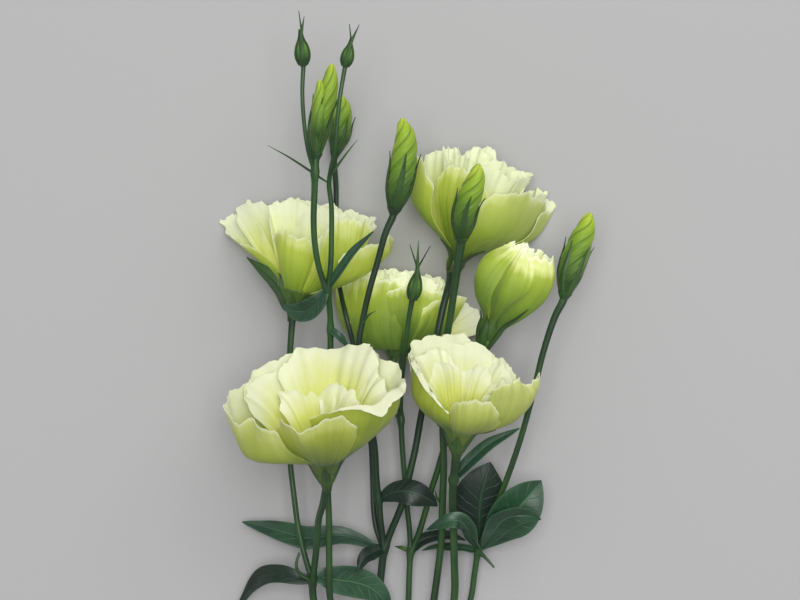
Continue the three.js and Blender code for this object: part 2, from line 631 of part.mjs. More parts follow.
        halfWidth: 3.2, facing: [0, 1, 0.9], rows: 4, columns: 2, wave: 0.2 },
    ],
    bracts: [
      [[[4.5, 134.5, 13], [1, 136, 13.5], [-2.5, 136.5, 11]], 1.4],
      [[[0.4, 196, 21.2], [-2.5, 200, 23], [-4.5, 202, 23]], 0.7],
    ],
  },
  stem_e: {
    foot: [3.6, -2, 0], radius: [1.7, 1.6], carries: 'front',
    main: [[6, 35, 3.2], [11, 76, 7], [16, 111, 13], [18, 126, 16], [19.5, 140, 19], [20, 159.5, 25],
      [20.5, 178.5, 30], [20, 193, 33], [20.5, 214, 38], [21.5, 234, 43], [23.5, 248, 49], [25, 259, 54],
      [26.5, 270, 58]],
    bracts: [[[[20, 157, 24], [17.5, 160.5, 24.5], [16.5, 164, 24]], 0.9]],
  },
  stem_f: {
    foot: [5.2, 6, 4.1], radius: [1.85, 1.7], carries: 'front_right',
    main: [[8.5, 42, 7.5], [17, 76, 13], [25.5, 112, 19], [25.5, 131.5, 24], [25, 146, 28],
      [24.5, 160.5, 36],
      [24.8, 171, 47]],
    leaves: [
      { spine: [[25, 171, 46.5], [32, 179, 48], [41, 187, 50], [48, 191, 51],
        [55, 194.5, 50]], halfWidth: 3,
        facing: [-0.3, 0.4, 1], rows: 4, columns: 2, root: 1, wave: 0.2 },
    ],
  },
  stem_g: {
    foot: [7, -6, 0], radius: [1.4, 1.4], carries: 'right',
    main: [[12, 35, 2.5], [22, 76, 5.5], [33.5, 111, 10], [35.5, 124.5, 12], [37.2, 135, 14],
      [39.5, 142.5, 17],
      [44, 154, 23], [49, 167, 29], [56, 188.5, 36], [61.5, 209.5, 41], [66.5, 230.5, 45], [71.5, 246, 48]],
    branches: [branch([[37.5, 134, 14], [40.5, 131.5, 16], [44.5, 127, 17]], [0.9, 0.5])],
    leaves: [
      { spine: [[36.5, 136, 15], [34, 140.5, 22], [31.5, 147, 32], [27, 151, 37.5], [21.5, 150.5, 37.5],
        [17, 148.5, 34], [12.5, 146, 30]],
        halfWidth: 4.4, facing: [-0.6, 0.2, 1], endFacing: [-0.2, 0.2, 1], fold: 0.15 },
      { spine: [[38.5, 136, 15], [43, 141, 20], [49.5, 149, 28], [55, 156, 32], [60.5, 162.5, 33],
        [65.5, 168.5, 31]],
        halfWidth: 8, facing: [0.3, 0.1, 1], widest: 0.55 },
      { spine: [[39, 136.5, 16], [43, 143.5, 26], [48, 151, 35], [53.5, 153.5, 40], [59.5, 153.5, 40],
        [65.5, 151.5, 37]],
        halfWidth: 6, facing: [0.1, -0.5, 1], widest: 0.55 },
      { spine: [[37.5, 136.5, 14], [37.5, 143.5, 15], [37.5, 152, 17], [38, 160, 19], [40, 168.5, 21],
        [43, 177, 22]],
        halfWidth: 10.5, facing: [0, -0.15, 1], widest: 0.5, fold: -0.12 },
      { spine: [[36.5, 134.2, 13.5], [31, 135.5, 12.5], [23.5, 136, 11.5], [16, 136, 11],
        [10.5, 134.5, 11]],
        halfWidth: 2.6, facing: [0, 1, 0.6], rows: 4, columns: 2, wave: 0.2 },
    ],
  },
};

// The last points of a stem, inside the foot of the flower or bud that it carries
const FLOWER_STEM_ENDS = [-4.6, -1.6];
const BUD_STEM_ENDS = [-4, -1.4];

function footPoints(name) {
  if (name in FLOWERS) {
    const frame = flowerFrame(FLOWERS[name]);
    return FLOWER_STEM_ENDS.map((height) => flowerPoint(FLOWERS[name], frame, 0, 0, height).toArray());
  }
  if (name in BUDS) {
    const { point, tangent } = budRings(BUDS[name], STEM_SIDES, BUD_RADII)[0].station;
    return BUD_STEM_ENDS.map((height) => point.clone().addScaledVector(tangent, height).toArray());
  }
  return name in CLOSED_BUDS ? [CLOSED_BUDS[name].axis[0]] : [];
}

function carriedParts(name) {
  if (name in FLOWERS) return flowerCalyx(FLOWERS[name]);
  if (name in BUDS) return budCalyx(BUDS[name]);
  return name in CLOSED_BUDS ? closedBud(CLOSED_BUDS[name]) : [];
}

// A stem starts with a straight run on its flat underside, behind its cut end
function mainPath({ foot, radius, main, carries }) {
  const [x, y, lift] = foot;
  const z = lift + radius[0] * Math.cos(Math.PI / STEM_SIDES);
  const onwards = route([[x, y + STRAIGHT_RUN + AFTER_RUN, z], ...main, ...footPoints(carries)]);
  onwards.forEach((point) => point.setZ(Math.max(point.z, z)));
  return [vec([x, y, z]), vec([x, y + STRAIGHT_RUN, z]), ...onwards];
}

function stemGeometry(definition) {
  const { radius, carries, branches = [], leaves = [], bracts = [] } = definition;
  const parts = [stem(mainPath(definition), radius[0], radius[1]), ...carriedParts(carries)];
  branches.forEach((side) => {
    const path = route([...side.path, ...footPoints(side.carries)]);
    parts.push(stem(path, side.radius[0], side.radius[1]), ...carriedParts(side.carries));
  });
  leaves.forEach((blade) => parts.push(leaf(blade)));
  bracts.forEach(([points, halfWidth]) => parts.push(bract(points, halfWidth)));
  return union(parts);
}

const bunch = new THREE.Group();

function addPiece(name, geometry, color, roughness) {
  const material = new THREE.MeshStandardMaterial({ color, roughness, metalness: 0 });
  const mesh = new THREE.Mesh(geometry, material);
  mesh.name = name;
  bunch.add(mesh);
}

for (const [name, definition] of Object.entries(STEMS)) {
  addPiece(name, stemGeometry(definition), name === 'stem_c' ? GREEN.shade : GREEN.stem, 0.6);
}
for (const [name, flower] of Object.entries(FLOWERS)) {
  const color = name.startsWith('front') ? PETAL_COLOUR.cream : PETAL_COLOUR.lime;
  addPiece(`bloom_${name}`, flowerBloom(flower), color, 0.7);
}
for (const [name, bud] of Object.entries(BUDS)) {
  addPiece(`bud_${name}`, budPetals(bud), PETAL_COLOUR.bud, 0.6);
}

export default bunch;
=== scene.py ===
"""Dresses a loose bunch of lisianthus that lies on a pale table, seen from straight above.

Sizes are in millimetres in the bunch's own frame: +Y from the cut ends to the flowers, +Z up.
Meshes are written in metres.
"""

import enum
import functools
import logging
import math
from dataclasses import dataclass, replace
from typing import Any, Callable, Mapping, Sequence

import bpy
import numpy as np
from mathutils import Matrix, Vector


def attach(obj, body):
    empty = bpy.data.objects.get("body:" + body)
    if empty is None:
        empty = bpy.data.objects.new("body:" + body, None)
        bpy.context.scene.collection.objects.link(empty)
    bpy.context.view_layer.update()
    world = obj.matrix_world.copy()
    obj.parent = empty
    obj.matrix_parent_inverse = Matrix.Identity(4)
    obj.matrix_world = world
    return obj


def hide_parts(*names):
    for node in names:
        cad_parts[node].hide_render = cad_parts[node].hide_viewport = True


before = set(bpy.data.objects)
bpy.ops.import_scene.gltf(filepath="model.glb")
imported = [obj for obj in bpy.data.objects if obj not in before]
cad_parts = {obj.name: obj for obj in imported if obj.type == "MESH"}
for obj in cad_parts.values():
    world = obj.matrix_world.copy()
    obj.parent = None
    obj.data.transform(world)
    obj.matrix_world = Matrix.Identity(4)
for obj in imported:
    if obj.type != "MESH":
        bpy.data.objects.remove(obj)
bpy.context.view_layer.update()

BODY = "root"
PAINT = "paint"
NO_TRIANGLES = np.zeros((0, 3), int)
MM = 0.001
UP = np.array([0.0, 0.0, 1.0])
TURN = 2 * math.pi

Point = tuple[float, float, float]
Colour = tuple[float, float, float, float]

log = logging.getLogger("lisianthus")


def rgb(red: int, green: int, blue: int) -> Colour:
    """Turns a screen colour from 0 to 255 into linear light, fully opaque."""
    shares = [channel / 255 for channel in (red, green, blue)]
    return (*(s / 12.92 if s <= 0.04045 else ((s + 0.055) / 1.055) ** 2.4 for s in shares), 1.0)


def smooth(x: np.ndarray | float) -> np.ndarray | float:
    """Eases x from 0 to 1 between 0 and 1."""
    held = np.clip(x, 0.0, 1.0)
    return held * held * (3 - 2 * held)


def unit(vectors: np.ndarray) -> np.ndarray:
    """Scales vectors in the last axis to length 1."""
    return vectors / np.maximum(np.linalg.norm(vectors, axis=-1, keepdims=True), 1e-9)


def squared(vectors: np.ndarray, tangent: np.ndarray) -> np.ndarray:
    """Turns vectors square to the tangents of a path."""
    return unit(vectors - (vectors * tangent).sum(axis=1, keepdims=True) * tangent)


def beside(path: np.ndarray, side: np.ndarray, out: np.ndarray, upper: np.ndarray,
           up: np.ndarray) -> np.ndarray:
    """A row of points for each point of a path, moved by out along side and by up along upper."""
    return path[:, None, :] + out[..., None] * side[:, None, :] + up[..., None] * upper[:, None, :]


class Dice:
    """A small repeatable source of random numbers."""

    FACTOR = 16807
    LIMIT = 2147483647

    def __init__(self, seed: int) -> None:
        """Starts the sequence at a seed."""
        self.state = seed

    def draw(self) -> float:
        """Returns the next number between 0 and 1."""
        self.state = (self.state * self.FACTOR) % self.LIMIT
        return self.state / self.LIMIT

    def ripple(self, *waves: float) -> Callable[[np.ndarray], np.ndarray]:
        """Makes an uneven wave.

        Args:
            waves: How many waves of each kind fit in one unit of length.

        Returns:
            A function from a place to a height of about -1 to 1.
        """
        parts = [(wave, self.draw() * TURN, 0.6 + 0.8 * self.draw()) for wave in waves]

        def height(place: np.ndarray) -> np.ndarray:
            """Adds up the waves at a place."""
            return sum(size * np.sin(TURN * wave * place + start) for wave, start, size in parts) / len(parts)

        return height


class Route:
    """A smooth curve through given points, measured along its length."""

    STEPS = 24

    def __init__(self, points: Sequence[Sequence[float]]) -> None:
        """Fits the curve.

        Args:
            points: The places it goes through, in millimetres.
        """
        knots = np.array(points, float)
        ends = [2 * knots[0] - knots[1], *knots, 2 * knots[-1] - knots[-2]]
        t = (np.arange(1, self.STEPS + 1) / self.STEPS)[:, None]
        samples = [knots[:1]]
        for before, start, end, after in zip(ends, ends[1:], ends[2:], ends[3:]):
            pairs = ((before, start), (start, end), (end, after))
            gaps = [max(float(np.linalg.norm(b - a)) ** 0.5, 1e-3) for a, b in pairs]
            here = (end - start) / gaps[1]
            leave = ((start - before) / gaps[0] - (end - before) / (gaps[0] + gaps[1]) + here) * gaps[1]
            arrive = (here - (after - start) / (gaps[1] + gaps[2]) + (after - end) / gaps[2]) * gaps[1]
            bend = -3 * start + 3 * end - 2 * leave - arrive
            twist = 2 * start - 2 * end + leave + arrive
            samples.append(start + leave * t + bend * t**2 + twist * t**3)
        self.samples = np.concatenate(samples)
        steps = np.linalg.norm(np.diff(self.samples, axis=0), axis=1)
        self.reach = np.concatenate([[0.0], np.cumsum(steps)])
        self.length = float(self.reach[-1])

    def at(self, shares: np.ndarray) -> np.ndarray:
        """Returns one point for each share of the length, 0 to 1."""
        places = np.clip(shares, 0, 1) * self.length
        return np.stack([np.interp(places, self.reach, self.samples[:, k]) for k in range(3)], axis=-1)

    def spaced(self, step: float) -> np.ndarray:
        """Returns points about step millimetres apart."""
        count = max(2, math.ceil(self.length / step))
        return self.at(np.linspace(0, 1, count + 1))


def through(points: np.ndarray, places: np.ndarray) -> np.ndarray:
    """Curves smoothly through evenly spaced points.

    Args:
        points: Points along the first axis.
        places: Places from 0 at the first point to 1 at the last.

    Returns:
        The curve at those places, along the first axis.
    """
    ends = np.concatenate([2 * points[:1] - points[1:2], points, 2 * points[-1:] - points[-2:-1]])
    at = places * (len(points) - 1)
    k = np.clip(at.astype(int), 0, len(points) - 2)
    f = (at - k).reshape([-1] + [1] * (points.ndim - 1))
    before, start, end, after = ends[k], ends[k + 1], ends[k + 2], ends[k + 3]
    bend = 2 * before - 5 * start + 4 * end - after
    return start + 0.5 * f * (end - before + f * (bend + f * (3 * start - before - 3 * end + after)))


def stations(path: np.ndarray) -> tuple[np.ndarray, np.ndarray, np.ndarray]:
    """Finds the directions at each point of a path.

    Args:
        path: Points in order.

    Returns:
        Tangents, level sideways directions and upper directions.
    """
    tangent = unit(np.gradient(path, axis=0))
    side = unit(np.cross(tangent, UP))
    return tangent, side, np.cross(side, tangent)


@dataclass
class Shell:
    """Mesh data in millimetres with four painted values at each vertex.

    They are the place from root to tip, the place from side to side, a number that tells one blade
    from another, and 1 on an inner face or 0 on an outer one.
    """

    vertices: np.ndarray
    quads: np.ndarray
    triangles: np.ndarray
    paint: np.ndarray

    @staticmethod
    def joined(shells: Sequence["Shell"]) -> "Shell":
        """Puts shells together in one.

        Args:
            shells: The shells to join.

        Returns:
            One shell that holds them all.
        """
        starts = np.cumsum([0] + [len(shell.vertices) for shell in shells[:-1]])
        return Shell(*map(np.concatenate, zip(*(
            (shell.vertices, shell.quads + start, shell.triangles + start, shell.paint)
            for shell, start in zip(shells, starts)))))

    def add_piece(self, name: str, tone: enum.Enum, node: str, slot: str, crease: float = 55.0) -> None:
        """Makes a piece in the scene and fits it to the frame.

        Args:
            name: Name of the piece.
            tone: What it is finished in.
            node: The CAD node that it stands for.
            slot: Its material slot; not used.
            crease: Angle in degrees above which an edge stays sharp.
        """
        mesh = bpy.data.meshes.new(name)
        mesh.from_pydata(self.vertices * MM, [], [*self.quads.tolist(), *self.triangles.tolist()])
        mesh.shade_smooth()
        mesh.set_sharp_from_angle(angle=math.radians(crease))
        layer = mesh.attributes.new(PAINT, "FLOAT_COLOR", "POINT")
        layer.data.foreach_set("color", self.paint.astype(np.float32).ravel())
        mesh.materials.append(material_of(tone))
        piece = bpy.data.objects.new(name, mesh)
        bpy.context.scene.collection.objects.link(piece)
        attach(piece, BODY)
        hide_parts(node)
        log.info("%s: %d faces for %s", name, len(mesh.polygons), node)


def painted(shape: tuple[int, ...], *values: np.ndarray | float) -> np.ndarray:
    """Packs the painted values of a grid of vertices, one row for each vertex."""
    return np.stack([np.broadcast_to(value, shape).ravel() for value in values], axis=1)


def grid_quads(rows: int, columns: int, closed: bool = False) -> np.ndarray:
    """Faces of a grid of vertices.

    Args:
        rows: Rows of vertices.
        columns: Columns of vertices.
        closed: Whether the last column joins the first.

    Returns:
        Quads as vertex numbers.
    """
    first = np.arange(rows - 1)[:, None] * columns
    here = np.arange(columns if closed else columns - 1)[None, :]
    ahead = (here + 1) % columns
    corners = [first + here, first + ahead, first + columns + ahead, first + columns + here]
    return np.stack(corners, axis=-1).reshape(-1, 4)


def blade(grid: np.ndarray, along: np.ndarray, u: np.ndarray, pick: float,
          thickness: np.ndarray | float) -> Shell:
    """A thin closed body round a grid of points on its middle surface.

    Args:
        grid: Points as rows, columns, 3, rows running from root to tip.
        along: Place from root to tip.
        u: Place from side to side, -1 to 1.
        pick: A number that tells this blade from others.
        thickness: Thickness in millimetres.

    Returns:
        The closed shell. Its face towards across × along is the inner one.
    """
    shape = grid.shape[:2]
    count = grid.shape[0] * grid.shape[1]
    normal = unit(np.cross(np.gradient(grid, axis=1), np.gradient(grid, axis=0)))
    half = np.asarray(thickness)[..., None] / 2
    quads = grid_quads(*shape)
    numbers = np.arange(count).reshape(shape)
    edge = np.concatenate([numbers[0, :-1], numbers[:-1, -1], numbers[-1, :0:-1], numbers[:0:-1, 0]])
    ahead = np.roll(edge, -1)
    rim = np.stack([ahead, edge, edge + count, ahead + count], axis=-1)
    faces = [(grid + normal * half).reshape(-1, 3), (grid - normal * half).reshape(-1, 3)]
    return Shell(np.concatenate(faces), np.concatenate([quads, quads[:, ::-1] + count, rim]), NO_TRIANGLES,
                 np.concatenate([painted(shape, along, (u + 1) / 2, pick, face) for face in (1.0, 0.0)]))


def tube(rings: np.ndarray, pick: float) -> Shell:
    """A closed body through rings of points, its ends capped.

    Args:
        rings: Points as rings, sides, 3, each ring clockwise seen along the body.
        pick: A number that tells this body from others.

    Returns:
        The closed shell.
    """
    count, sides = rings.shape[:2]
    size = count * sides
    here = np.arange(sides)
    ahead = (here + 1) % sides
    start_cap = np.stack([np.full(sides, size), here, ahead], axis=-1)
    end_cap = np.stack([np.full(sides, size + 1), size - sides + ahead, size - sides + here], axis=-1)
    along = np.linspace(0, 1, count)
    return Shell(np.concatenate([rings.reshape(-1, 3), rings[:1].mean(axis=1), rings[-1:].mean(axis=1)]),
                 grid_quads(count, sides, closed=True)[:, ::-1], np.concatenate([start_cap, end_cap]),
                 np.concatenate([painted((count, sides), along[:, None], here / sides, pick, 0.0),
                                 painted((2,), along[[0, -1]], 0.0, pick, 1.0)]))


# The last points of a stalk, the group that its foot belongs to, the foot itself and the sepals
Calyx = tuple[list[np.ndarray], str, Shell, list[Shell]]


def round_rings(path: np.ndarray, radii: np.ndarray, sides: int,
                form: Callable[[np.ndarray, np.ndarray], np.ndarray] | None = None) -> np.ndarray:
    """Rings of points round a path.

    Args:
        path: Points in order.
        radii: Radius at each.
        sides: Points in a ring.
        form: Gives a factor on the radius from the angle and the share of the length.

    Returns:
        Points as rings, sides, 3.
    """
    _, side, upper = stations(path)
    angle = np.arange(sides)[None, :] / sides * TURN
    share = np.linspace(0, 1, len(path))[:, None]
    reach = radii[:, None] * (form(angle, share) if form else np.ones((1, sides)))
    return beside(path, side, reach * np.cos(angle), upper, reach * np.sin(angle))


class Wire:
    """A shader socket that takes part in Python expressions."""

    def __init__(self, shader: "Shader", socket: bpy.types.NodeSocket) -> None:
        """Wraps an output socket of a shader's node."""
        self.shader = shader
        self.socket = socket

    def math(self, operation: str, *values: "Wire | float") -> "Wire":
        """Adds a Math node for an operation on values."""
        return self.shader.wire("ShaderNodeMath", {"operation": operation}, dict(enumerate(values)))

    def __add__(self, other: "Wire | float") -> "Wire":
        """Sum."""
        return self.math("ADD", self, other)

    __radd__ = __add__

    def __sub__(self, other: "Wire | float") -> "Wire":
        """Difference."""
        return self.math("SUBTRACT", self, other)

    def __rsub__(self, other: "Wire | float") -> "Wire":
        """Reflected difference."""
        return self.math("SUBTRACT", other, self)

    def __mul__(self, other: "Wire | float") -> "Wire":
        """Product."""
        return self.math("MULTIPLY", self, other)

    __rmul__ = __mul__

    def off_middle(self) -> "Wire":
        """Distance from a half, as 0 there and 1 at 0 and 1."""
        return self.math("ABSOLUTE", self - 0.5) * 2

    def eased(self, low: float, high: float) -> "Wire":
        """A value that eases from 0 at low to 1 at high."""
        values = {"Value": self, "From Min": low, "From Max": high}
        return self.shader.wire("ShaderNodeMapRange", {"interpolation_type": "SMOOTHSTEP"}, values, "Result")


class Shader:
    """A material's node tree and the few ways in which this script adds to it."""

    ROUGH = 0.55

    def __init__(self, name: str) -> None:
        """Makes an empty material.

        Args:
            name: The material's name.
        """
        self.material = bpy.data.materials.new(name)
        self.material.use_nodes = True
        self.tree = self.material.node_tree
        self.tree.nodes.clear()

    def node(self, kind: str, settings: Mapping[str, Any], inputs: Mapping[int | str, Any]) -> bpy.types.Node:
        """Adds a node, sets it and feeds it.

        Args:
            kind: The node's type.
            settings: Its settings; stops are a ramp's places and colours.
            inputs: Values or wires for its sockets, by name or number.

        Returns:
            The node.
        """
        node = self.tree.nodes.new(kind)
        for key, value in settings.items():
            if key != "stops":
                setattr(node, key, value)
                continue
            stops = node.color_ramp.elements
            while len(stops) < len(value):
                stops.new(0.5)
            for stop, (stop_place, colour) in zip(stops, value):
                stop.position, stop.color = stop_place, colour
        for key, value in inputs.items():
            if isinstance(value, Wire):
                self.tree.links.new(value.socket, node.inputs[key])
            else:
                node.inputs[key].default_value = value
        return node

    def wire(self, kind: str, settings: Mapping[str, Any], inputs: Mapping[int | str, Any],
             output: int | str = 0) -> Wire:
        """Adds a node and wraps one of its outputs."""
        return Wire(self, self.node(kind, settings, inputs).outputs[output])

    def paint(self) -> tuple[Wire, Wire, Wire, Wire]:
        """Reads what the meshes paint on their vertices.

        Returns:
            Along, across, pick and face.
        """
        source = self.node("ShaderNodeAttribute", {"attribute_name": PAINT}, {})
        parts = self.node("ShaderNodeSeparateColor", {}, {"Color": Wire(self, source.outputs["Color"])})
        return (*(Wire(self, socket) for socket in parts.outputs), Wire(self, source.outputs["Alpha"]))

    def noise(self, scale: float, detail: float = 2.0, place: Wire | None = None) -> Wire:
        """Uneven values from 0 to 1.

        Args:
            scale: How fine the noise is.
            detail: How many finer layers it has.
            place: Where it is read, if not at the place on the object in metres.

        Returns:
            The value.
        """
        place = place or self.wire("ShaderNodeTexCoord", {}, {}, "Object")
        inputs = {"Vector": place, "Scale": scale, "Detail": detail, "Roughness": self.ROUGH}
        return self.wire("ShaderNodeTexNoise", {}, inputs, "Fac")

    def streaks(self, detail: float, x: Wire, y: Wire, z: Wire) -> Wire:
        """Uneven values from 0 to 1, read at the place that x, y and z give."""
        return self.noise(1.0, detail, self.wire("ShaderNodeCombineXYZ", {}, {0: x, 1: y, 2: z}))

    def ramp(self, value: Wire, places: Sequence[float], colours: Sequence[Colour]) -> Wire:
        """Colours a value by colours at places."""
        return self.wire("ShaderNodeValToRGB", {"stops": [*zip(places, colours)]}, {0: value}, "Color")

    def mixed(self, share: Wire | float, low: Wire | Colour, high: Wire | Colour) -> Wire:
        """Mixes two colours, share saying how much of high there is."""
        return self.wire("ShaderNodeMix", {"data_type": "RGBA"}, {0: share, 6: low, 7: high}, 2)

    def bump(self, height: Wire, strength: float, depth: float) -> Wire:
        """Turns a height of 0 to 1 into a normal, 1 standing for depth in metres."""
        inputs = {"Height": height, "Strength": strength, "Distance": depth}
        return self.wire("ShaderNodeBump", {}, inputs, "Normal")

    def finished(self, inputs: Mapping[str, Any]) -> bpy.types.Material:
        """Closes the tree with a Principled shader.

        Args:
            inputs: Its inputs by name.

        Returns:
            The material.
        """
        surface = self.wire("ShaderNodeBsdfPrincipled", {}, inputs)
        self.node("ShaderNodeOutputMaterial", {}, {"Surface": surface})
        return self.material


@dataclass(frozen=True)
class PetalFinish:
    """Soft petals, green at the foot and paler to the rim, with fine streaks.

    outer and inner are each face's colours from foot to rim, at the places outer_stops and inner_stops.
    """

    outer: tuple[Colour, ...]
    inner: tuple[Colour, ...]
    vein: Colour
    inner_vein: Colour = rgb(206, 208, 84)
    outer_stops: tuple[float, ...] = (0.18, 0.5, 0.86, 0.96)
    inner_stops: tuple[float, ...] = (0.14, 0.55, 0.9)
    streaks: float = 26.0
    patches: float = 55.0
    grains: float = 900.0
    veining: float = 0.38
    edging: float = 0.7
    roughness: float = 0.6
    # How much a rolled bud's laps darken towards their edges: painted shade in the grooves where the laps
    # meet.
    fold: float = 0.0
    # How strongly the petals give off their own colour: a painted glow, though they are no lamp, that lifts
    # their shade.
    glow: float = 0.14

    def material(self, name: str) -> bpy.types.Material:
        """Makes the material.

        Args:
            name: Its name.

        Returns:
            The material.
        """
        shader = Shader(name)
        along, across, pick, face = shader.paint()
        streak = shader.streaks(4.0, across * self.streaks + pick * 60, along * 1.6, pick * 13)
        level = along + (shader.noise(self.patches) - 0.5) * 0.32 + (streak - 0.5) * 0.16
        outside = shader.ramp(level, self.outer_stops, self.outer)
        colour = shader.mixed(face, outside, shader.ramp(level, self.inner_stops, self.inner))
        vein = streak.eased(0.55, 0.7) * (1 - along.eased(0.55, 0.98)) * self.veining
        colour = shader.mixed(vein, colour, shader.mixed(face, self.vein, self.inner_vein))
        colour = shader.mixed(along.eased(0.955, 1.0) * self.edging, colour, self.inner[-1])
        # Painted shade: darker towards both edges of each lap, in the grooves between a bud's rolled laps.
        colour = shader.mixed(across.off_middle().eased(0.62, 0.98) * self.fold, colour, self.vein)
        height = streak * 0.7 + shader.noise(self.grains) * 0.15
        return shader.finished({
            "Base Color": colour,
            "Roughness": self.roughness + (streak - 0.5) * 0.2,
            "Normal": shader.bump(height, 0.35, 0.0006),
            "Subsurface Weight": 0.22,
            "Subsurface Radius": (0.8, 1.0, 0.35),
            "Subsurface Scale": 0.004,
            # Painted light: the petals give off a little of their own colour, which lifts the shade inside
            # the blooms.
            "Emission Color": colour,
            "Emission Strength": self.glow,
            "Sheen Weight": 0.12,
            "Specular IOR Level": 0.35,
        })


@dataclass(frozen=True)
class LeafFinish:
    """Waxy leaves with a paler midrib and side veins."""

    upper: Colour
    deep: Colour
    under: Colour
    rib: Colour
    edge: Colour
    roughness: float = 0.42
    side_veins: float = 9.0
    wander: float = 140.0
    patches: float = 60.0
    pores: float = 1500.0

    def material(self, name: str) -> bpy.types.Material:
        """Makes the material.

        Args:
            name: Its name.

        Returns:
            The material.
        """
        shader = Shader(name)
        along, across, _, face = shader.paint()
        off = across.off_middle()
        run = (along - off * 0.16) * self.side_veins + (shader.noise(self.wander) - 0.5) * 0.5
        saw = run.math("FRACT", run).off_middle()
        veins = saw.eased(0.9, 1.0) * off.eased(0.04, 0.2) * (1 - off.eased(0.8, 1.0)) * 0.45
        rib = (1 - off.eased(0.02, 0.09)) * 0.75
        patch = shader.noise(self.patches, 3.0)
        colour = shader.mixed(patch.eased(0.35, 0.7), self.upper, self.deep)
        for share, shade in (((1 - face) * 0.85, self.under), (veins, self.rib), (rib, self.rib),
                             (off.eased(0.78, 1.0) * 0.5, self.edge)):
            colour = shader.mixed(share, colour, shade)
        height = shader.noise(self.pores) * 0.12 - veins * 0.7 - rib * 0.8 + patch * 0.3
        return shader.finished({
            "Base Color": colour,
            "Roughness": self.roughness + (patch - 0.5) * 0.25,
            "Normal": shader.bump(height, 0.5, 0.0007),
            "Subsurface Weight": 0.06,
            "Subsurface Radius": (0.4, 1.0, 0.3),
            "Subsurface Scale": 0.002,
            "Specular IOR Level": 0.45,
        })


@dataclass(frozen=True)
class StemFinish:
    """Smooth green stems with fine lengthwise lines."""

    body: Colour
    deep: Colour
    pale: Colour
    cut: Colour = rgb(168, 182, 120)
    roughness: float = 0.45
    lines: float = 9.0
    patches: float = 45.0
    grains: float = 1400.0

    def material(self, name: str) -> bpy.types.Material:
        """Makes the material.

        Args:
            name: Its name.

        Returns:
            The material.
        """
        shader = Shader(name)
        along, across, pick, face = shader.paint()
        streak = shader.streaks(3.0, across * self.lines + pick * 31, along * 3, pick * 7)
        patch = shader.noise(self.patches, 3.0)
        colour = shader.mixed(patch.eased(0.3, 0.7), self.body, self.deep)
        colour = shader.mixed(streak.eased(0.5, 0.75) * 0.4, colour, self.pale)
        height = streak * 0.6 + shader.noise(self.grains) * 0.15
        return shader.finished({
            "Base Color": shader.mixed(face, colour, self.cut),
            "Roughness": self.roughness + (patch - 0.5) * 0.2,
            "Normal": shader.bump(height, 0.4, 0.0004),
            "Specular IOR Level": 0.45,
        })


@dataclass(frozen=True)
class NeckFinish:
    """The funnel under a bloom, dark green below and olive where the petals leave it.

    shades are its colours from low to top, at the places stops.
    """

    shades: tuple[Colour, Colour, Colour]
    line: Colour
    stops: tuple[float, float, float] = (0.12, 0.42, 0.7)
    roughness: float = 0.5
    lines: float = 16.0
    patches: float = 90.0
    grains: float = 1400.0

    def material(self, name: str) -> bpy.types.Material:
        """Makes the material.

        Args:
            name: Its name.

        Returns:
            The material.
        """
        shader = Shader(name)
        along, across, pick, face = shader.paint()
        streak = shader.streaks(3.0, across * self.lines + pick * 31, along * 2, pick * 7)
        patch = shader.noise(self.patches)
        level = along + (streak - 0.5) * 0.22 + (patch - 0.5) * 0.2
        colour = shader.ramp(level, self.stops, self.shades)
        colour = shader.mixed(streak.eased(0.54, 0.72) * 0.4, colour, self.line)
        height = streak * 0.6 + shader.noise(self.grains) * 0.12
        return shader.finished({
            "Base Color": shader.mixed(face, colour, self.shades[1]),
            "Roughness": self.roughness + (patch - 0.5) * 0.2,
            "Normal": shader.bump(height, 0.4, 0.0004),
            "Subsurface Weight": 0.08,
            "Subsurface Radius": (0.6, 1.0, 0.3),
            "Subsurface Scale": 0.002,
            "Specular IOR Level": 0.4,
        })


@dataclass(frozen=True)
class FloorFinish:
    """A plain pale matt table top, a little lighter in places."""

    colour: Colour
    lighter: float = 1.03
    clouds: float = 2.0

    def material(self, name: str) -> bpy.types.Material:
        """Makes the material.

        Args:
            name: Its name.

        Returns:
            The material.
        """
        shader = Shader(name)
        light = tuple(min(1.0, channel * self.lighter) for channel in self.colour)
        colour = shader.mixed(shader.noise(self.clouds), self.colour, light)
        return shader.finished({"Base Color": colour, "Roughness": 0.9, "Specular IOR Level": 0.1})


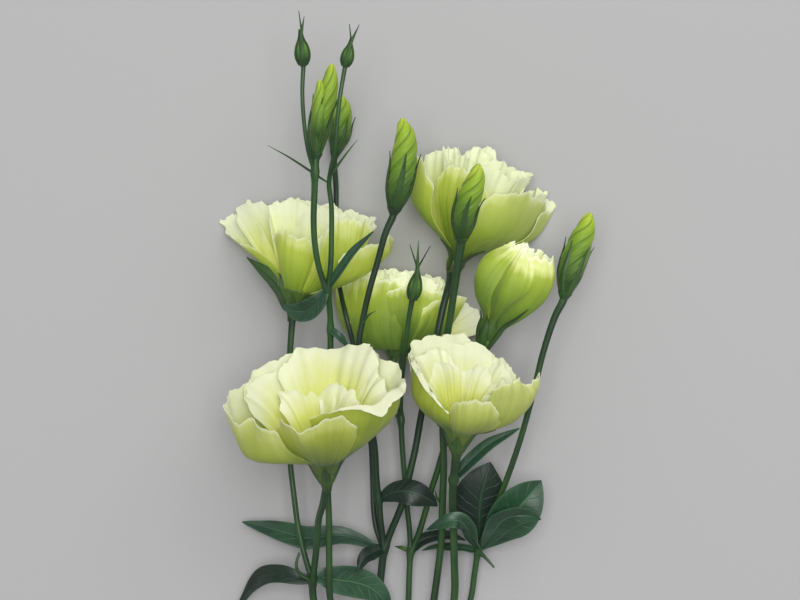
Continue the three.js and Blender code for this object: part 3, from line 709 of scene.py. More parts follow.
class PetalTone(enum.Enum):
    """How pale a flower's petals are."""

    CREAM = PetalFinish(
        (rgb(66, 88, 30), rgb(126, 142, 40), rgb(160, 172, 62), rgb(190, 200, 106)),
        (rgb(160, 174, 44), rgb(206, 213, 108), rgb(228, 233, 190)), rgb(128, 148, 44),
        outer_stops=(0.34, 0.64, 0.86, 0.985), glow=0.03)
    LIME = PetalFinish(
        (rgb(62, 88, 28), rgb(130, 154, 40), rgb(172, 189, 68), rgb(204, 215, 124)),
        (rgb(166, 182, 42), rgb(208, 218, 114), rgb(229, 236, 193)), rgb(112, 144, 34), glow=0.06)
    # OLIVE copies LIME for the middle and half-open blooms, which lie in the shade of the others: its deeper
    # outer greens are painted shade, and its paler inner faces and stronger glow are painted light that lifts
    # the shade in their cups.
    OLIVE = PetalFinish(
        (rgb(50, 76, 26), rgb(96, 122, 36), rgb(150, 170, 54), rgb(212, 222, 138)),
        (rgb(172, 188, 42), rgb(226, 232, 124), rgb(244, 248, 212)), rgb(92, 122, 34),
        outer_stops=(0.26, 0.56, 0.86, 0.96))
    BUD = PetalFinish(
        (rgb(40, 70, 26), rgb(102, 136, 34), rgb(146, 174, 42), rgb(172, 192, 56)),
        (rgb(90, 126, 30), rgb(150, 180, 50), rgb(186, 206, 80)), rgb(66, 100, 28),
        outer_stops=(0.18, 0.5, 0.86, 0.95), streaks=18.0, roughness=0.5, fold=0.75, glow=0.05)
    CLOSED = PetalFinish(
        (rgb(34, 66, 30), rgb(84, 124, 42), rgb(96, 134, 46), rgb(60, 96, 44)),
        (rgb(34, 66, 30), rgb(84, 124, 42), rgb(60, 96, 44)), rgb(40, 74, 32),
        outer_stops=(0.18, 0.5, 0.86, 0.86), streaks=30.0, roughness=0.45, glow=0.05)


class GreenTone(enum.Enum):
    """The greens of leaves and sepals."""

    TEAL = LeafFinish(rgb(42, 78, 54), rgb(27, 56, 40), rgb(56, 90, 66), rgb(80, 118, 84), rgb(66, 100, 72))
    # The next tone is TEAL darkened all over: painted shade for the leaves that lie in shade.
    DARK = LeafFinish(rgb(28, 48, 36), rgb(18, 34, 27), rgb(37, 58, 44), rgb(48, 74, 54), rgb(39, 62, 48))
    SEPAL = LeafFinish(rgb(58, 90, 40), rgb(38, 68, 32), rgb(44, 78, 36), rgb(44, 72, 36), rgb(22, 42, 26),
                       side_veins=3.0)


class StemTone(enum.Enum):
    """The greens of stems."""

    GREEN = StemFinish(rgb(46, 80, 40), rgb(28, 56, 31), rgb(84, 120, 60))
    # SHADE is GREEN darkened all over: painted shade for the stem that lies in shade under the blooms.
    SHADE = StemFinish(rgb(34, 60, 37), rgb(22, 42, 29), rgb(62, 90, 53))


class NeckTone(enum.Enum):
    """The greens of the funnels under the blooms."""

    OLIVE = NeckFinish((rgb(40, 64, 34), rgb(66, 86, 36), rgb(78, 98, 34)), rgb(118, 130, 60))


@functools.cache
def material_of(tone: enum.Enum) -> bpy.types.Material:
    """Makes a tone's material once."""
    return tone.value.material(f"{type(tone).__name__}_{tone.name}".lower())


# How far a full curl bends a petal's rim, and where and how sharply a sagging petal bellies out
RIM_CURL = 0.25
SAG_PLACE = 0.38
SAG_POWER = 2.2


@dataclass(frozen=True)
class Petal:
    """One petal of a bloom.

    Angles are in degrees round the bloom's axis: 0 is right and 90 is towards the viewer. reach and
    tall are shares of the bloom's radius and height. open shapes the flare, sag bellies the petal
    out low, close draws its top in, curl turns its rim outwards, waist narrows its lower half and
    pale is how nearly its outer face matches the inner one.
    """

    centre: float
    half: float
    reach: float
    tall: float
    open: float = 0.8
    sag: float = 0.0
    close: float = 0.0
    curl: float = 0.0
    lean: float = 0.0
    out: float = 0.0
    lap: float = 0.6
    root: float = 2.4
    lift: float = 0.0
    wave: float = 1.3
    ruffles: float = 6.0
    fine: float = 0.55
    pleats: float = 0.2
    pale: float = 0.0
    round: float = 0.2
    waist: float = 0.9
    rows: int = 34
    columns: int = 44

    def middle(self, share: np.ndarray, bloom: "Flower") -> tuple[np.ndarray, np.ndarray]:
        """The petal's middle line.

        Args:
            share: Place from root to rim.
            bloom: The bloom that it belongs to.

        Returns:
            Radius and height.
        """
        held = np.maximum(share, 0)
        bellied = 1 - np.exp(-((held / SAG_PLACE) ** SAG_POWER))
        flare = (1 - self.sag) * held**self.open + self.sag * bellied
        drawn = 1 - self.close * smooth((held - 0.5) / 0.5)
        curl = self.curl * held**6 * RIM_CURL
        reach, tall = self.reach * bloom.radius, self.tall * bloom.height
        out = self.root + (reach - self.root) * flare * drawn + curl * reach
        return out, self.lift + (tall - self.lift) * share - curl * tall

    def sheet(self, u: np.ndarray, share: np.ndarray, bloom: "Flower") -> tuple[np.ndarray, ...]:
        """Angle, radius and height of the surface before its waves, at places across and along."""
        width = self.waist + (1 - self.waist) * smooth(share)
        return math.radians(self.centre) + u * math.radians(self.half) * width, *self.middle(share, bloom)


@dataclass(frozen=True)
class DrapedPetal(Petal):
    """A petal that follows given lines.

    Each line has its angle and then its places from low to rim, as radius and height in percent of
    the bloom's. All of them leave the funnel at the bloom's cup.
    """

    lines: tuple[tuple[Any, ...], ...] = ()

    def net(self, bloom: "Flower") -> np.ndarray:
        """Lays out the lines with their roots.

        Args:
            bloom: The bloom that the petal belongs to.

        Returns:
            Angle, radius and height of each line's places.
        """
        low = [(self.root, self.lift), bloom.cup]
        return np.array([[(math.radians(angle), *place) for place in low + [
            (out / 100 * bloom.radius, up / 100 * bloom.height) for out, up in places]]
            for angle, *places in self.lines])

    def middle(self, share: np.ndarray, bloom: "Flower") -> tuple[np.ndarray, np.ndarray]:
        """Radius and height of the middle one of its lines."""
        line = through(self.net(bloom)[len(self.lines) // 2], share)
        return line[:, 1], line[:, 2]

    def sheet(self, u: np.ndarray, share: np.ndarray, bloom: "Flower") -> tuple[np.ndarray, ...]:
        """The petal's surface before its waves.

        Args:
            u: Place across, from -1 to 1.
            share: Place from root to rim.
            bloom: The bloom that it belongs to.

        Returns:
            Angle, radius and height.
        """
        across = through(self.net(bloom), (u[0] + 1) / 2)
        grid = np.stack([through(line, share[:, k]) for k, line in enumerate(across)], axis=1)
        return tuple(np.moveaxis(grid, -1, 0))


def draped(*lines: tuple[Any, ...], **changes: float) -> Petal:
    """A petal that follows given lines.

    Args:
        lines: Each line's angle and its places from low to rim, in percent.
        changes: Other fields that differ.

    Returns:
        The petal.
    """
    first, last = lines[0][0], lines[-1][0]
    return replace(DrapedPetal((first + last) / 2, (last - first) / 2, 0, 0, lines=lines, round=0.03,
                               lap=0.2, wave=0.7, root=4.2, lift=0.4), **changes)


def inner(centre: float, half: float, reach: float, tall: float, **changes: float) -> Petal:
    """A creased petal inside a bloom, with changes to its other fields."""
    return replace(Petal(centre, half, reach, tall, open=0.75, root=1.0 + 0.6 * reach, lift=1.5, pleats=0.35,
                         fine=0.45, pale=0.85), **changes)


# Distance of a bloom's sepals from its petals
SEPAL_GAP = 1.1


@dataclass(frozen=True)
class Sepal:
    """One sepal under a bloom: its angle, length, half its width, its gap and its turn to the viewer."""

    angle: float
    length: float
    half_width: float
    gap: float = SEPAL_GAP
    turned: float = 0.0


# Below the first height a bloom eases towards the second, so that it lies on the table
FLOOR_BLEND = 3.5
FLOOR_LEVEL = 0.45

# The funnel under a bloom, and where its stalk ends inside it
NECK_SIDES = 24
NECK_HEIGHTS = (-9, -7, -5, -3, -1, 0.4, 1.6, 2.6)
NECK_RADII = (1.9, 2.3, 2.9, 3.6, 4.3, 4.5, 3.9, 2.6)
BLOOM_HOLDS = (-4.6, -1.6)

# Where a bloom's sepals start, how they are spread along their length and what they lie on
SEPAL_ROOT = (3.2, -4.2)
SEPAL_SHARES = (0.15, 0.42, 0.72, 1.0)
SEPAL_MARGIN = 6
SKIN_SHARES = np.linspace(0, 0.9, 60)
LOW_PLACE = 20

# Waves across a petal, from its ragged rim to its pleats
TEETH = (2.3, 3.7, 6.1)
NICKS = (11, 17, 23)
FOLDS = (1.1, 1.9, 3.1)
FRILLS = (4.3, 6.7)
PLEATS = (5, 8)


@dataclass
class Flower:
    """A bloom: petals round an axis that rises from its seat."""

    name: str
    seat: Point
    turn: float
    tilt: float
    height: float
    radius: float
    seed: int
    flat_up: float
    flat_down: float
    parts: tuple[Petal, ...]
    sepals: tuple[Sepal, ...]
    tone: PetalTone
    slot: str
    hang_left: float = 0.0
    hang_right: float = 0.0
    thickness: float = 0.42
    cup: tuple[float, float] = (8.2, 6.6)

    @functools.cached_property
    def directions(self) -> tuple[np.ndarray, np.ndarray, np.ndarray]:
        """Works out the flower's own directions.

        Returns:
            Its right, its front and its axis.
        """
        turn, tilt = math.radians(self.turn), math.radians(self.tilt)
        axis = np.array([math.sin(turn) * math.cos(tilt), math.cos(turn) * math.cos(tilt), math.sin(tilt)])
        right = unit(np.cross(axis, UP))
        return right, np.cross(right, axis), axis

    def point(self, angle: np.ndarray | float, radius: np.ndarray | float,
              height: np.ndarray | float) -> np.ndarray:
        """Places points by the flower's own measures.

        Args:
            angle: Angle round the axis.
            radius: Distance from the axis.
            height: Height above the seat, along the axis.

        Returns:
            Points in the bunch's frame.
        """
        angle, radius, height = np.broadcast_arrays(angle, radius, height)
        right, front, axis = self.directions
        place = (np.array(self.seat) + height[..., None] * axis + (radius * np.cos(angle))[..., None] * right
                 + (radius * np.sin(angle))[..., None] * front)
        rise = place[..., 2] - self.seat[2]
        sideways = radius * np.cos(angle) / self.radius
        hang = np.where(sideways < 0, self.hang_left, self.hang_right) * sideways**2
        level = self.seat[2] + rise * np.where(rise > 0, self.flat_up, self.flat_down) - hang
        depth = FLOOR_BLEND - FLOOR_LEVEL
        low = FLOOR_LEVEL + depth * np.exp((np.minimum(level, FLOOR_BLEND) - FLOOR_BLEND) / depth)
        place[..., 2] = np.where(level >= FLOOR_BLEND, level, low)
        return place

    def petal(self, part: Petal, dice: Dice) -> Shell:
        """Builds one petal.

        Args:
            part: The petal's measures.
            dice: Random numbers.

        Returns:
            The petal as a closed shell.
        """
        u = np.linspace(-1, 1, part.columns)[None, :]
        level = np.linspace(0.02, 1, part.rows)[:, None]
        teeth, nicks = dice.ripple(*TEETH), dice.ripple(*NICKS)
        edge = 1 + part.lean * u + 0.03 * teeth(u / 2) + 0.012 * nicks(u / 2) - part.round * np.abs(u) ** 3
        share = level * (1 + (edge - 1) * smooth(level * 1.6 - 0.5))
        angle, radius, height = part.sheet(u, share, self)
        slope = np.arctan2(np.gradient(radius, axis=0), np.gradient(height, axis=0))
        phase = dice.draw() * TURN
        folds, frills, pleats = dice.ripple(*FOLDS), dice.ripple(*FRILLS), dice.ripple(*PLEATS)
        shift = (part.out - part.lap * u) * smooth(share * 3 - 0.4)
        shift = shift + part.wave * share**3 * np.sin(part.ruffles * angle + phase)
        shift = shift + part.wave * 0.6 * share**2 * folds(u / 2 + 0.1 * share)
        shift = shift + part.fine * share**6 * frills(u / 2 + 0.05 * share) * 1.6
        shift = shift + part.pleats * smooth(share * 2) * pleats(u / 2)
        grid = self.point(angle, radius + shift * np.cos(slope), height - shift * np.sin(slope))
        thickness = self.thickness * (1 - 0.45 * smooth(share * 1.4 - 0.4))
        shell = blade(grid, share / np.max(share, axis=0), u, dice.draw(), thickness)
        shell.paint[:, 3] = np.maximum(shell.paint[:, 3], part.pale)
        return shell

    def build(self) -> None:
        """Builds and dresses the petals."""
        dice = Dice(self.seed)
        petals = Shell.joined([self.petal(part, dice) for part in self.parts])
        petals.add_piece(f"petals_{self.name}", self.tone, f"bloom_{self.name}", self.slot, 75.0)

    def skin(self, angle: float, lengths: Sequence[float]) -> list[tuple[float, float]]:
        """Finds places along the outermost petal at an angle.

        Args:
            angle: Angle round the axis, in degrees.
            lengths: Distances from the petal's root along it.

        Returns:
            Radius and height of each.
        """
        lines = [part.middle(SKIN_SHARES, self) for part in self.parts
                 if abs((angle - part.centre + 180) % 360 - 180) <= part.half + SEPAL_MARGIN]
        out, up = max(lines, key=lambda line: float(line[0][LOW_PLACE] - 0.3 * line[1][LOW_PLACE]))
        reach = np.concatenate([[0.0], np.cumsum(np.hypot(np.diff(out), np.diff(up)))])
        return [(float(np.interp(n, reach, out)), float(np.interp(n, reach, up))) for n in lengths]

    def calyx(self) -> Calyx:
        """Builds the green foot and its sepals.

        Returns:
            What a stem needs of them.
        """
        angle = np.arange(NECK_SIDES) / NECK_SIDES * TURN
        rings = self.point(angle[None, :], np.array(NECK_RADII)[:, None], np.array(NECK_HEIGHTS)[:, None])
        sepals = []
        for sepal in self.sepals:
            at, turn = math.radians(sepal.angle), math.radians(sepal.turned)
            places = [SEPAL_ROOT]
            lengths = [sepal.length * share for share in SEPAL_SHARES]
            for number, (out, up) in enumerate(self.skin(sepal.angle, lengths)):
                neck = float(np.interp(up, NECK_HEIGHTS, NECK_RADII))
                gap = SEPAL_GAP + (sepal.gap - SEPAL_GAP) * min(1, number / 2)
                places.append((max(out + gap, neck + 0.3), up))
            points = [self.point(at, *place) for place in places]
            outer = self.point(at, places[2][0] + 1, places[2][1] - 0.6)
            ridge = unit(outer - points[2]) * math.cos(turn) + UP * math.sin(turn)
            sepals.append(lance(points, ridge, sepal.half_width, sepal.angle / 100))
        return [self.point(0.0, 0.0, h) for h in BLOOM_HOLDS], "necks", tube(rings, self.seed / 100), sepals


def lance(points: Sequence[np.ndarray], outwards: np.ndarray, half_width: float, pick: float,
          fold: float = 0.45) -> Shell:
    """A narrow folded blade that ends in a long thin tip.

    Args:
        points: The blade's middle line.
        outwards: The side that its ridge faces.
        half_width: Half its greatest width.
        pick: A number that tells it from others.
        fold: How deeply it is folded.

    Returns:
        The blade.
    """
    share = np.linspace(0, 1, 22)[:, None]
    path = Route(points).at(share[:, 0])
    tangent = unit(np.gradient(path, axis=0))
    outer = squared(np.broadcast_to(np.asarray(outwards, float), path.shape), tangent)
    width = half_width * (0.25 + np.sin(math.pi * share**0.7) ** 0.8 * 0.8) * (1 - share**3 * 0.75)
    u = np.linspace(-1, 1, 9)[None, :]
    grid = beside(path, np.cross(tangent, outer), u * width, outer, -np.abs(u) * width * fold)
    return blade(grid, share, u, pick, 0.55 * (1 - 0.4 * share))


# A bud's outline, its rolled laps and how much its radius is softened along it
BUD_RADII = (0.42, 0.86, 1, 1, 0.95, 0.86, 0.66, 0.3)
BUD_DOME = 0.94
TWIST_POWER = 1.6
LAPS = 5
LAP_SIDES = 18
BUD_RINGS = 76
SOFTENED = 7
GROOVE = 0.17

# A bud's sepals as shares of its length and gaps, and its neck as heights, shares of its radius and extras
SEPALS = 5
BUD_SEPAL_PLACES = ((0.07, 0.4), (0.2, 0.45), (0.36, 0.5), (0.5, 0.7), (0.62, 1.7))
BUD_NECK = ((-4.6, 0, 1.5), (-3.6, 0, 1.6), (-2.6, 0.26, 0.6), (-1.6, 0.36, 0.5), (-0.8, 0.44, 0.5),
            (0.2, 0.48, 0.5), (1.2, 0.3, 0))
BUD_HOLDS = (-4.0, -1.4)
CLOSED_SEPAL_ROWS = (1, 5, 9, 14, 19)


@dataclass
class Bud:
    """Rolled petals: a spindle with turned laps and a bent tip, in a green foot with sepals."""

    name: str
    axis: tuple[Point, ...]
    radius: float
    twist: float
    sepal_start: float
    hook: float = -1.4
    partner: tuple[tuple[Point, ...], float] | None = None

    @staticmethod
    def girth(share: np.ndarray | float) -> np.ndarray:
        """Returns the bud's radius at shares of its length, as a share of its greatest."""
        past = np.clip((share - BUD_DOME) / (1 - BUD_DOME), 0, 0.98)
        return np.interp(share, np.linspace(0, 1, len(BUD_RADII)), BUD_RADII) * np.sqrt(1 - past**2)

    def rolled(self, axis: Sequence[Point], radius: float) -> Shell:
        """One spindle of rolled petals.

        Args:
            axis: Its middle line.
            radius: Its greatest radius.

        Returns:
            The spindle.
        """
        share = np.linspace(0, 1, BUD_RINGS)
        path = Route(axis).at(share)
        _, side, upper = stations(path)
        path = path + side * (self.hook * smooth((share - 0.8) / 0.2))[:, None]
        padded = np.pad(radius * self.girth(share), SOFTENED // 2, mode="edge")
        reach = np.convolve(padded, np.ones(SOFTENED) / SOFTENED, mode="valid")
        base = np.arange(LAP_SIDES * LAPS) / (LAP_SIDES * LAPS)
        place = (base * LAPS) % 1.0
        share = share[:, None]
        grown = smooth(share * 5)
        puff = np.sin(math.pi * (0.04 + 0.92 * place) ** 0.75) ** 0.5
        wrinkle = 0.018 * np.sin(TURN * (3 * place + 2.3 * share)) * grown
        reach = reach[:, None] * (1 - GROOVE * (1 - puff) * grown + wrinkle)
        angle = base * TURN - math.radians(self.twist) * share**TWIST_POWER
        shell = tube(beside(path, side, reach * np.cos(angle), upper, reach * np.sin(angle)), radius / 10)
        shell.paint[:-2, 1] = np.tile(place, BUD_RINGS)
        shell.paint[:, 3] = 0.0
        return shell

    def build(self) -> None:
        """Builds and dresses the rolled petals."""
        rolls = [(self.axis, self.radius)] + ([self.partner] if self.partner else [])
        petals = Shell.joined([self.rolled(*roll) for roll in rolls])
        petals.add_piece(f"petals_bud_{self.name}", PetalTone.BUD, f"bud_{self.name}", "bud_green", 80.0)

    def calyx(self) -> Calyx:
        """Builds the green foot and the sepals that clasp the bud.

        Returns:
            What a stem needs of them.
        """
        path = Route(self.axis).at(np.linspace(0, 1, 60))
        tangent, side, upper = stations(path)
        heights, shares, extras = np.array(BUD_NECK).T
        rings = round_rings(path[0] + heights[:, None] * tangent[0], shares * self.radius + extras, 20)
        sepals = []
        for k in range(SEPALS):
            angle = math.radians(self.sepal_start + k * 360 / SEPALS)
            out = math.cos(angle) * side + math.sin(angle) * upper
            points = [path[0] + out[0] * 0.4 * self.radius - tangent[0] * 1.4]
            for share, gap in BUD_SEPAL_PLACES:
                i = round(share * (len(path) - 1))
                points.append(path[i] + out[i] * (self.radius * float(self.girth(share)) + gap))
            sepals.append(lance(points, out[6], 0.2 * self.radius + 0.3, 0.13 * k, fold=0.6))
        coarse = Route(self.axis).at(np.linspace(0, 1, len(BUD_RADII)))
        ends = [coarse[0] + stations(coarse)[0][0] * h for h in BUD_HOLDS]
        return ends, "stalks", tube(rings, 0.3), sepals


@dataclass(frozen=True)
class ClosedBud:
    """A small green bud, still closed, with thin sepal tips above it."""

    axis: tuple[Point, ...]
    radius: float
    tips: tuple[Point, ...]

    def outline(self, count: int) -> tuple[np.ndarray, np.ndarray]:
        """Works out the bud's outline.

        Args:
            count: How many places it has.

        Returns:
            Points along the middle line and the radius at each.
        """
        share = np.linspace(0, 1, count)
        narrowed = 1 - 0.8 * smooth(share * 1.6 - 0.6)
        return Route(self.axis).at(share), self.radius * Bud.girth(share) * narrowed

    def calyx(self) -> Calyx:
        """Builds the creased bud and the sepals that clasp it.

        Returns:
            What a stem needs of them.
        """
        body = round_rings(*self.outline(30), 40, lambda angle, at: (
            0.92 - 0.05 * np.cos(SEPALS * angle + 1.5 * at)))
        path, radii = self.outline(26)
        _, side, upper = stations(path)
        blades = []
        for k in range(SEPALS):
            angle = math.radians(20 + k * 360 / SEPALS)
            out = math.cos(angle) * side + math.sin(angle) * upper
            tip = self.tips[k] if k < len(self.tips) else path[-1] + out[-1] * 0.5
            points = [path[i] + out[i] * (radii[i] + 0.1) for i in CLOSED_SEPAL_ROWS]
            blades.append(lance([*points, tip], out[9], 0.3 * self.radius, 0.1 * k, fold=0.4))
        return [np.array(self.axis[0])], "closed_buds", tube(body, self.radius / 10), blades


# The lowest that a leaf hangs over the table
LEAF_FLOOR = 0.5


@dataclass(frozen=True)
class Leaf:
    """A leaf along a spine, its upper face turned from facing to end_facing."""

    spine: tuple[Point, ...]
    half_width: float
    facing: Point
    end_facing: Point | None = None
    widest: float = 0.42
    fold: float = 0.25
    wave: float = 0.5
    waves: float = 2
    root: float = 1.1
    tone: GreenTone = GreenTone.TEAL
    rows: int = 44
    columns: int = 21
    thickness: float = 0.5

    def shell(self, pick: float) -> Shell:
        """Builds the leaf.

        Args:
            pick: A number that tells it from others.

        Returns:
            The leaf.
        """
        t = np.linspace(0, 1, self.rows)[:, None]
        u = np.linspace(-1, 1, self.columns)[None, :]
        path = Route(self.spine).at(t[:, 0])
        tangent = unit(np.gradient(path, axis=0))
        start = np.array(self.facing, float)
        face = squared(start + (np.array(self.end_facing or self.facing, float) - start) * t, tangent)
        shape = math.log(0.5) / math.log(self.widest)
        base = np.interp(t, [0, 1 / 3, 1], [self.root, 0.3, 0.12])
        width = self.half_width * np.sin(math.pi * t**shape) ** 0.85 + base
        ripple = Dice(int(1000 + pick * 997)).ripple(2.7, 4.1)
        lift = np.abs(u) * width * self.fold
        lift = lift + self.wave * np.sin(self.waves * TURN * t + u * 1.3) * u**2 * np.sin(math.pi * t)
        lift = lift + 0.3 * self.wave * ripple(t + 0.2 * u) * np.abs(u) ** 3
        lift = lift - 0.05 * width * np.abs(u) ** 4
        lift = lift - 0.18 * np.exp(-((u * width / 0.5) ** 2)) * (1 - t)
        grid = beside(path, np.cross(tangent, face), u * width, face, lift)
        grid[..., 2] = np.maximum(grid[..., 2], LEAF_FLOOR)
        return blade(grid, t, u, pick, self.thickness)


@dataclass(frozen=True)
class Branch:
    """A branch: its route, its radius at both ends and the flower or bud that it carries."""

    path: tuple[Point, ...]
    radius: tuple[float, float]
    carries: str | None = None


# A stalk's sides, steps, first runs and ribs, and how it swells at joints and under what it carries
STEM_SIDES = 18
STEM_STEP = 1.8
STRAIGHT_RUN = 14
AFTER_RUN = 6
STEM_RIBS = 4
RIB_HEIGHT = 0.035
SWELL = 0.42
SWELL_LENGTH = 2.4
TOP_SWELL = 0.38
TOP_LENGTH = 16
FAR_AWAY = (1e4, 1e4, 1e4)


@dataclass
class Stem:
    """A cut stem with its branches, leaves, bracts, calyces and closed buds."""

    name: str
    foot: Point
    radius: tuple[float, float]
    main: tuple[Point, ...]
    carries: str | None = None
    branches: tuple[Branch, ...] = ()
    leaves: tuple[Leaf, ...] = ()
    bracts: tuple[tuple[tuple[Point, ...], float], ...] = ()
    tone: StemTone = StemTone.GREEN
    slot: str = "stem_green"

    def stalk(self, path: np.ndarray, radius: tuple[float, float], pick: float, loaded: bool) -> Shell:
        """A ribbed round stalk that swells where branches and leaves leave it.

        Args:
            path: Its middle line.
            radius: Its radius at both ends.
            pick: A number that tells it from others.
            loaded: Whether it carries a flower or bud and thickens below it.

        Returns:
            The stalk.
        """
        joints = [side.path[0] for side in self.branches] + [leaf.spine[0] for leaf in self.leaves]
        gaps = np.linalg.norm(path[:, None, :] - np.array([*joints, FAR_AWAY]), axis=-1).min(axis=1)
        radii = radius[0] + (radius[1] - radius[0]) * np.linspace(0, 1, len(path))
        radii = radii * (1 + SWELL * np.exp(-((gaps / SWELL_LENGTH) ** 2)))
        if loaded:
            radii = radii * (1 + TOP_SWELL * np.exp(-np.linalg.norm(path - path[-1], axis=1) / TOP_LENGTH))
        return tube(round_rings(path, radii, STEM_SIDES, lambda angle, at: (
            1 + RIB_HEIGHT * np.cos(STEM_RIBS * angle + 2 * at))), pick)

    def main_path(self, carried: Sequence[np.ndarray]) -> np.ndarray:
        """The main run, straight at first on its underside.

        Args:
            carried: Last points, inside what the stem carries.

        Returns:
            Its middle line.
        """
        x, y, lift = self.foot
        z = lift + self.radius[0] * (1 + RIB_HEIGHT)
        onwards = Route([(x, y + STRAIGHT_RUN + AFTER_RUN, z), *self.main, *carried]).spaced(STEM_STEP)
        onwards[:, 2] = np.maximum(onwards[:, 2], z)
        return np.concatenate([np.linspace((x, y, z), (x, y + STRAIGHT_RUN, z), 8), onwards])

    def build(self) -> None:
        """Builds and dresses the stem's pieces."""
        shells: dict[str, list[Shell]] = {"stalks": [], "necks": [], "closed_buds": [], "sepals": []}
        # The main run comes first and has no branch
        for number, side in enumerate([None, *self.branches]):
            carried = (side or self).carries
            ends: list[np.ndarray] = []
            if carried:
                ends, group, foot, blades = CARRIED[carried].calyx()
                shells[group].append(foot)
                shells["sepals"].extend(blades)
            if side:
                path = Route([*side.path, *ends]).spaced(STEM_STEP)
                shells["stalks"].append(self.stalk(path, side.radius, 0.2 + 0.1 * number, bool(ends)))
            else:
                shells["stalks"].append(self.stalk(self.main_path(ends), self.radius, 0.1, bool(ends)))
        for number, (points, half_width) in enumerate(self.bracts):
            shells["sepals"].append(lance(points, UP, half_width, 0.17 * number))
        tones = {"stalks": self.tone, "necks": NeckTone.OLIVE, "closed_buds": PetalTone.CLOSED,
                 "sepals": GreenTone.SEPAL}
        for tone in GreenTone:
            group = f"leaves_{tone.name.lower()}"
            tones[group] = tone
            shells[group] = [leaf.shell(0.07 * number + 0.05) for number, leaf in enumerate(self.leaves)
                             if leaf.tone is tone]
        for group, parts in shells.items():
            if parts:
                Shell.joined(parts).add_piece(f"{self.name}_{group}", tones[group], self.name, self.slot)


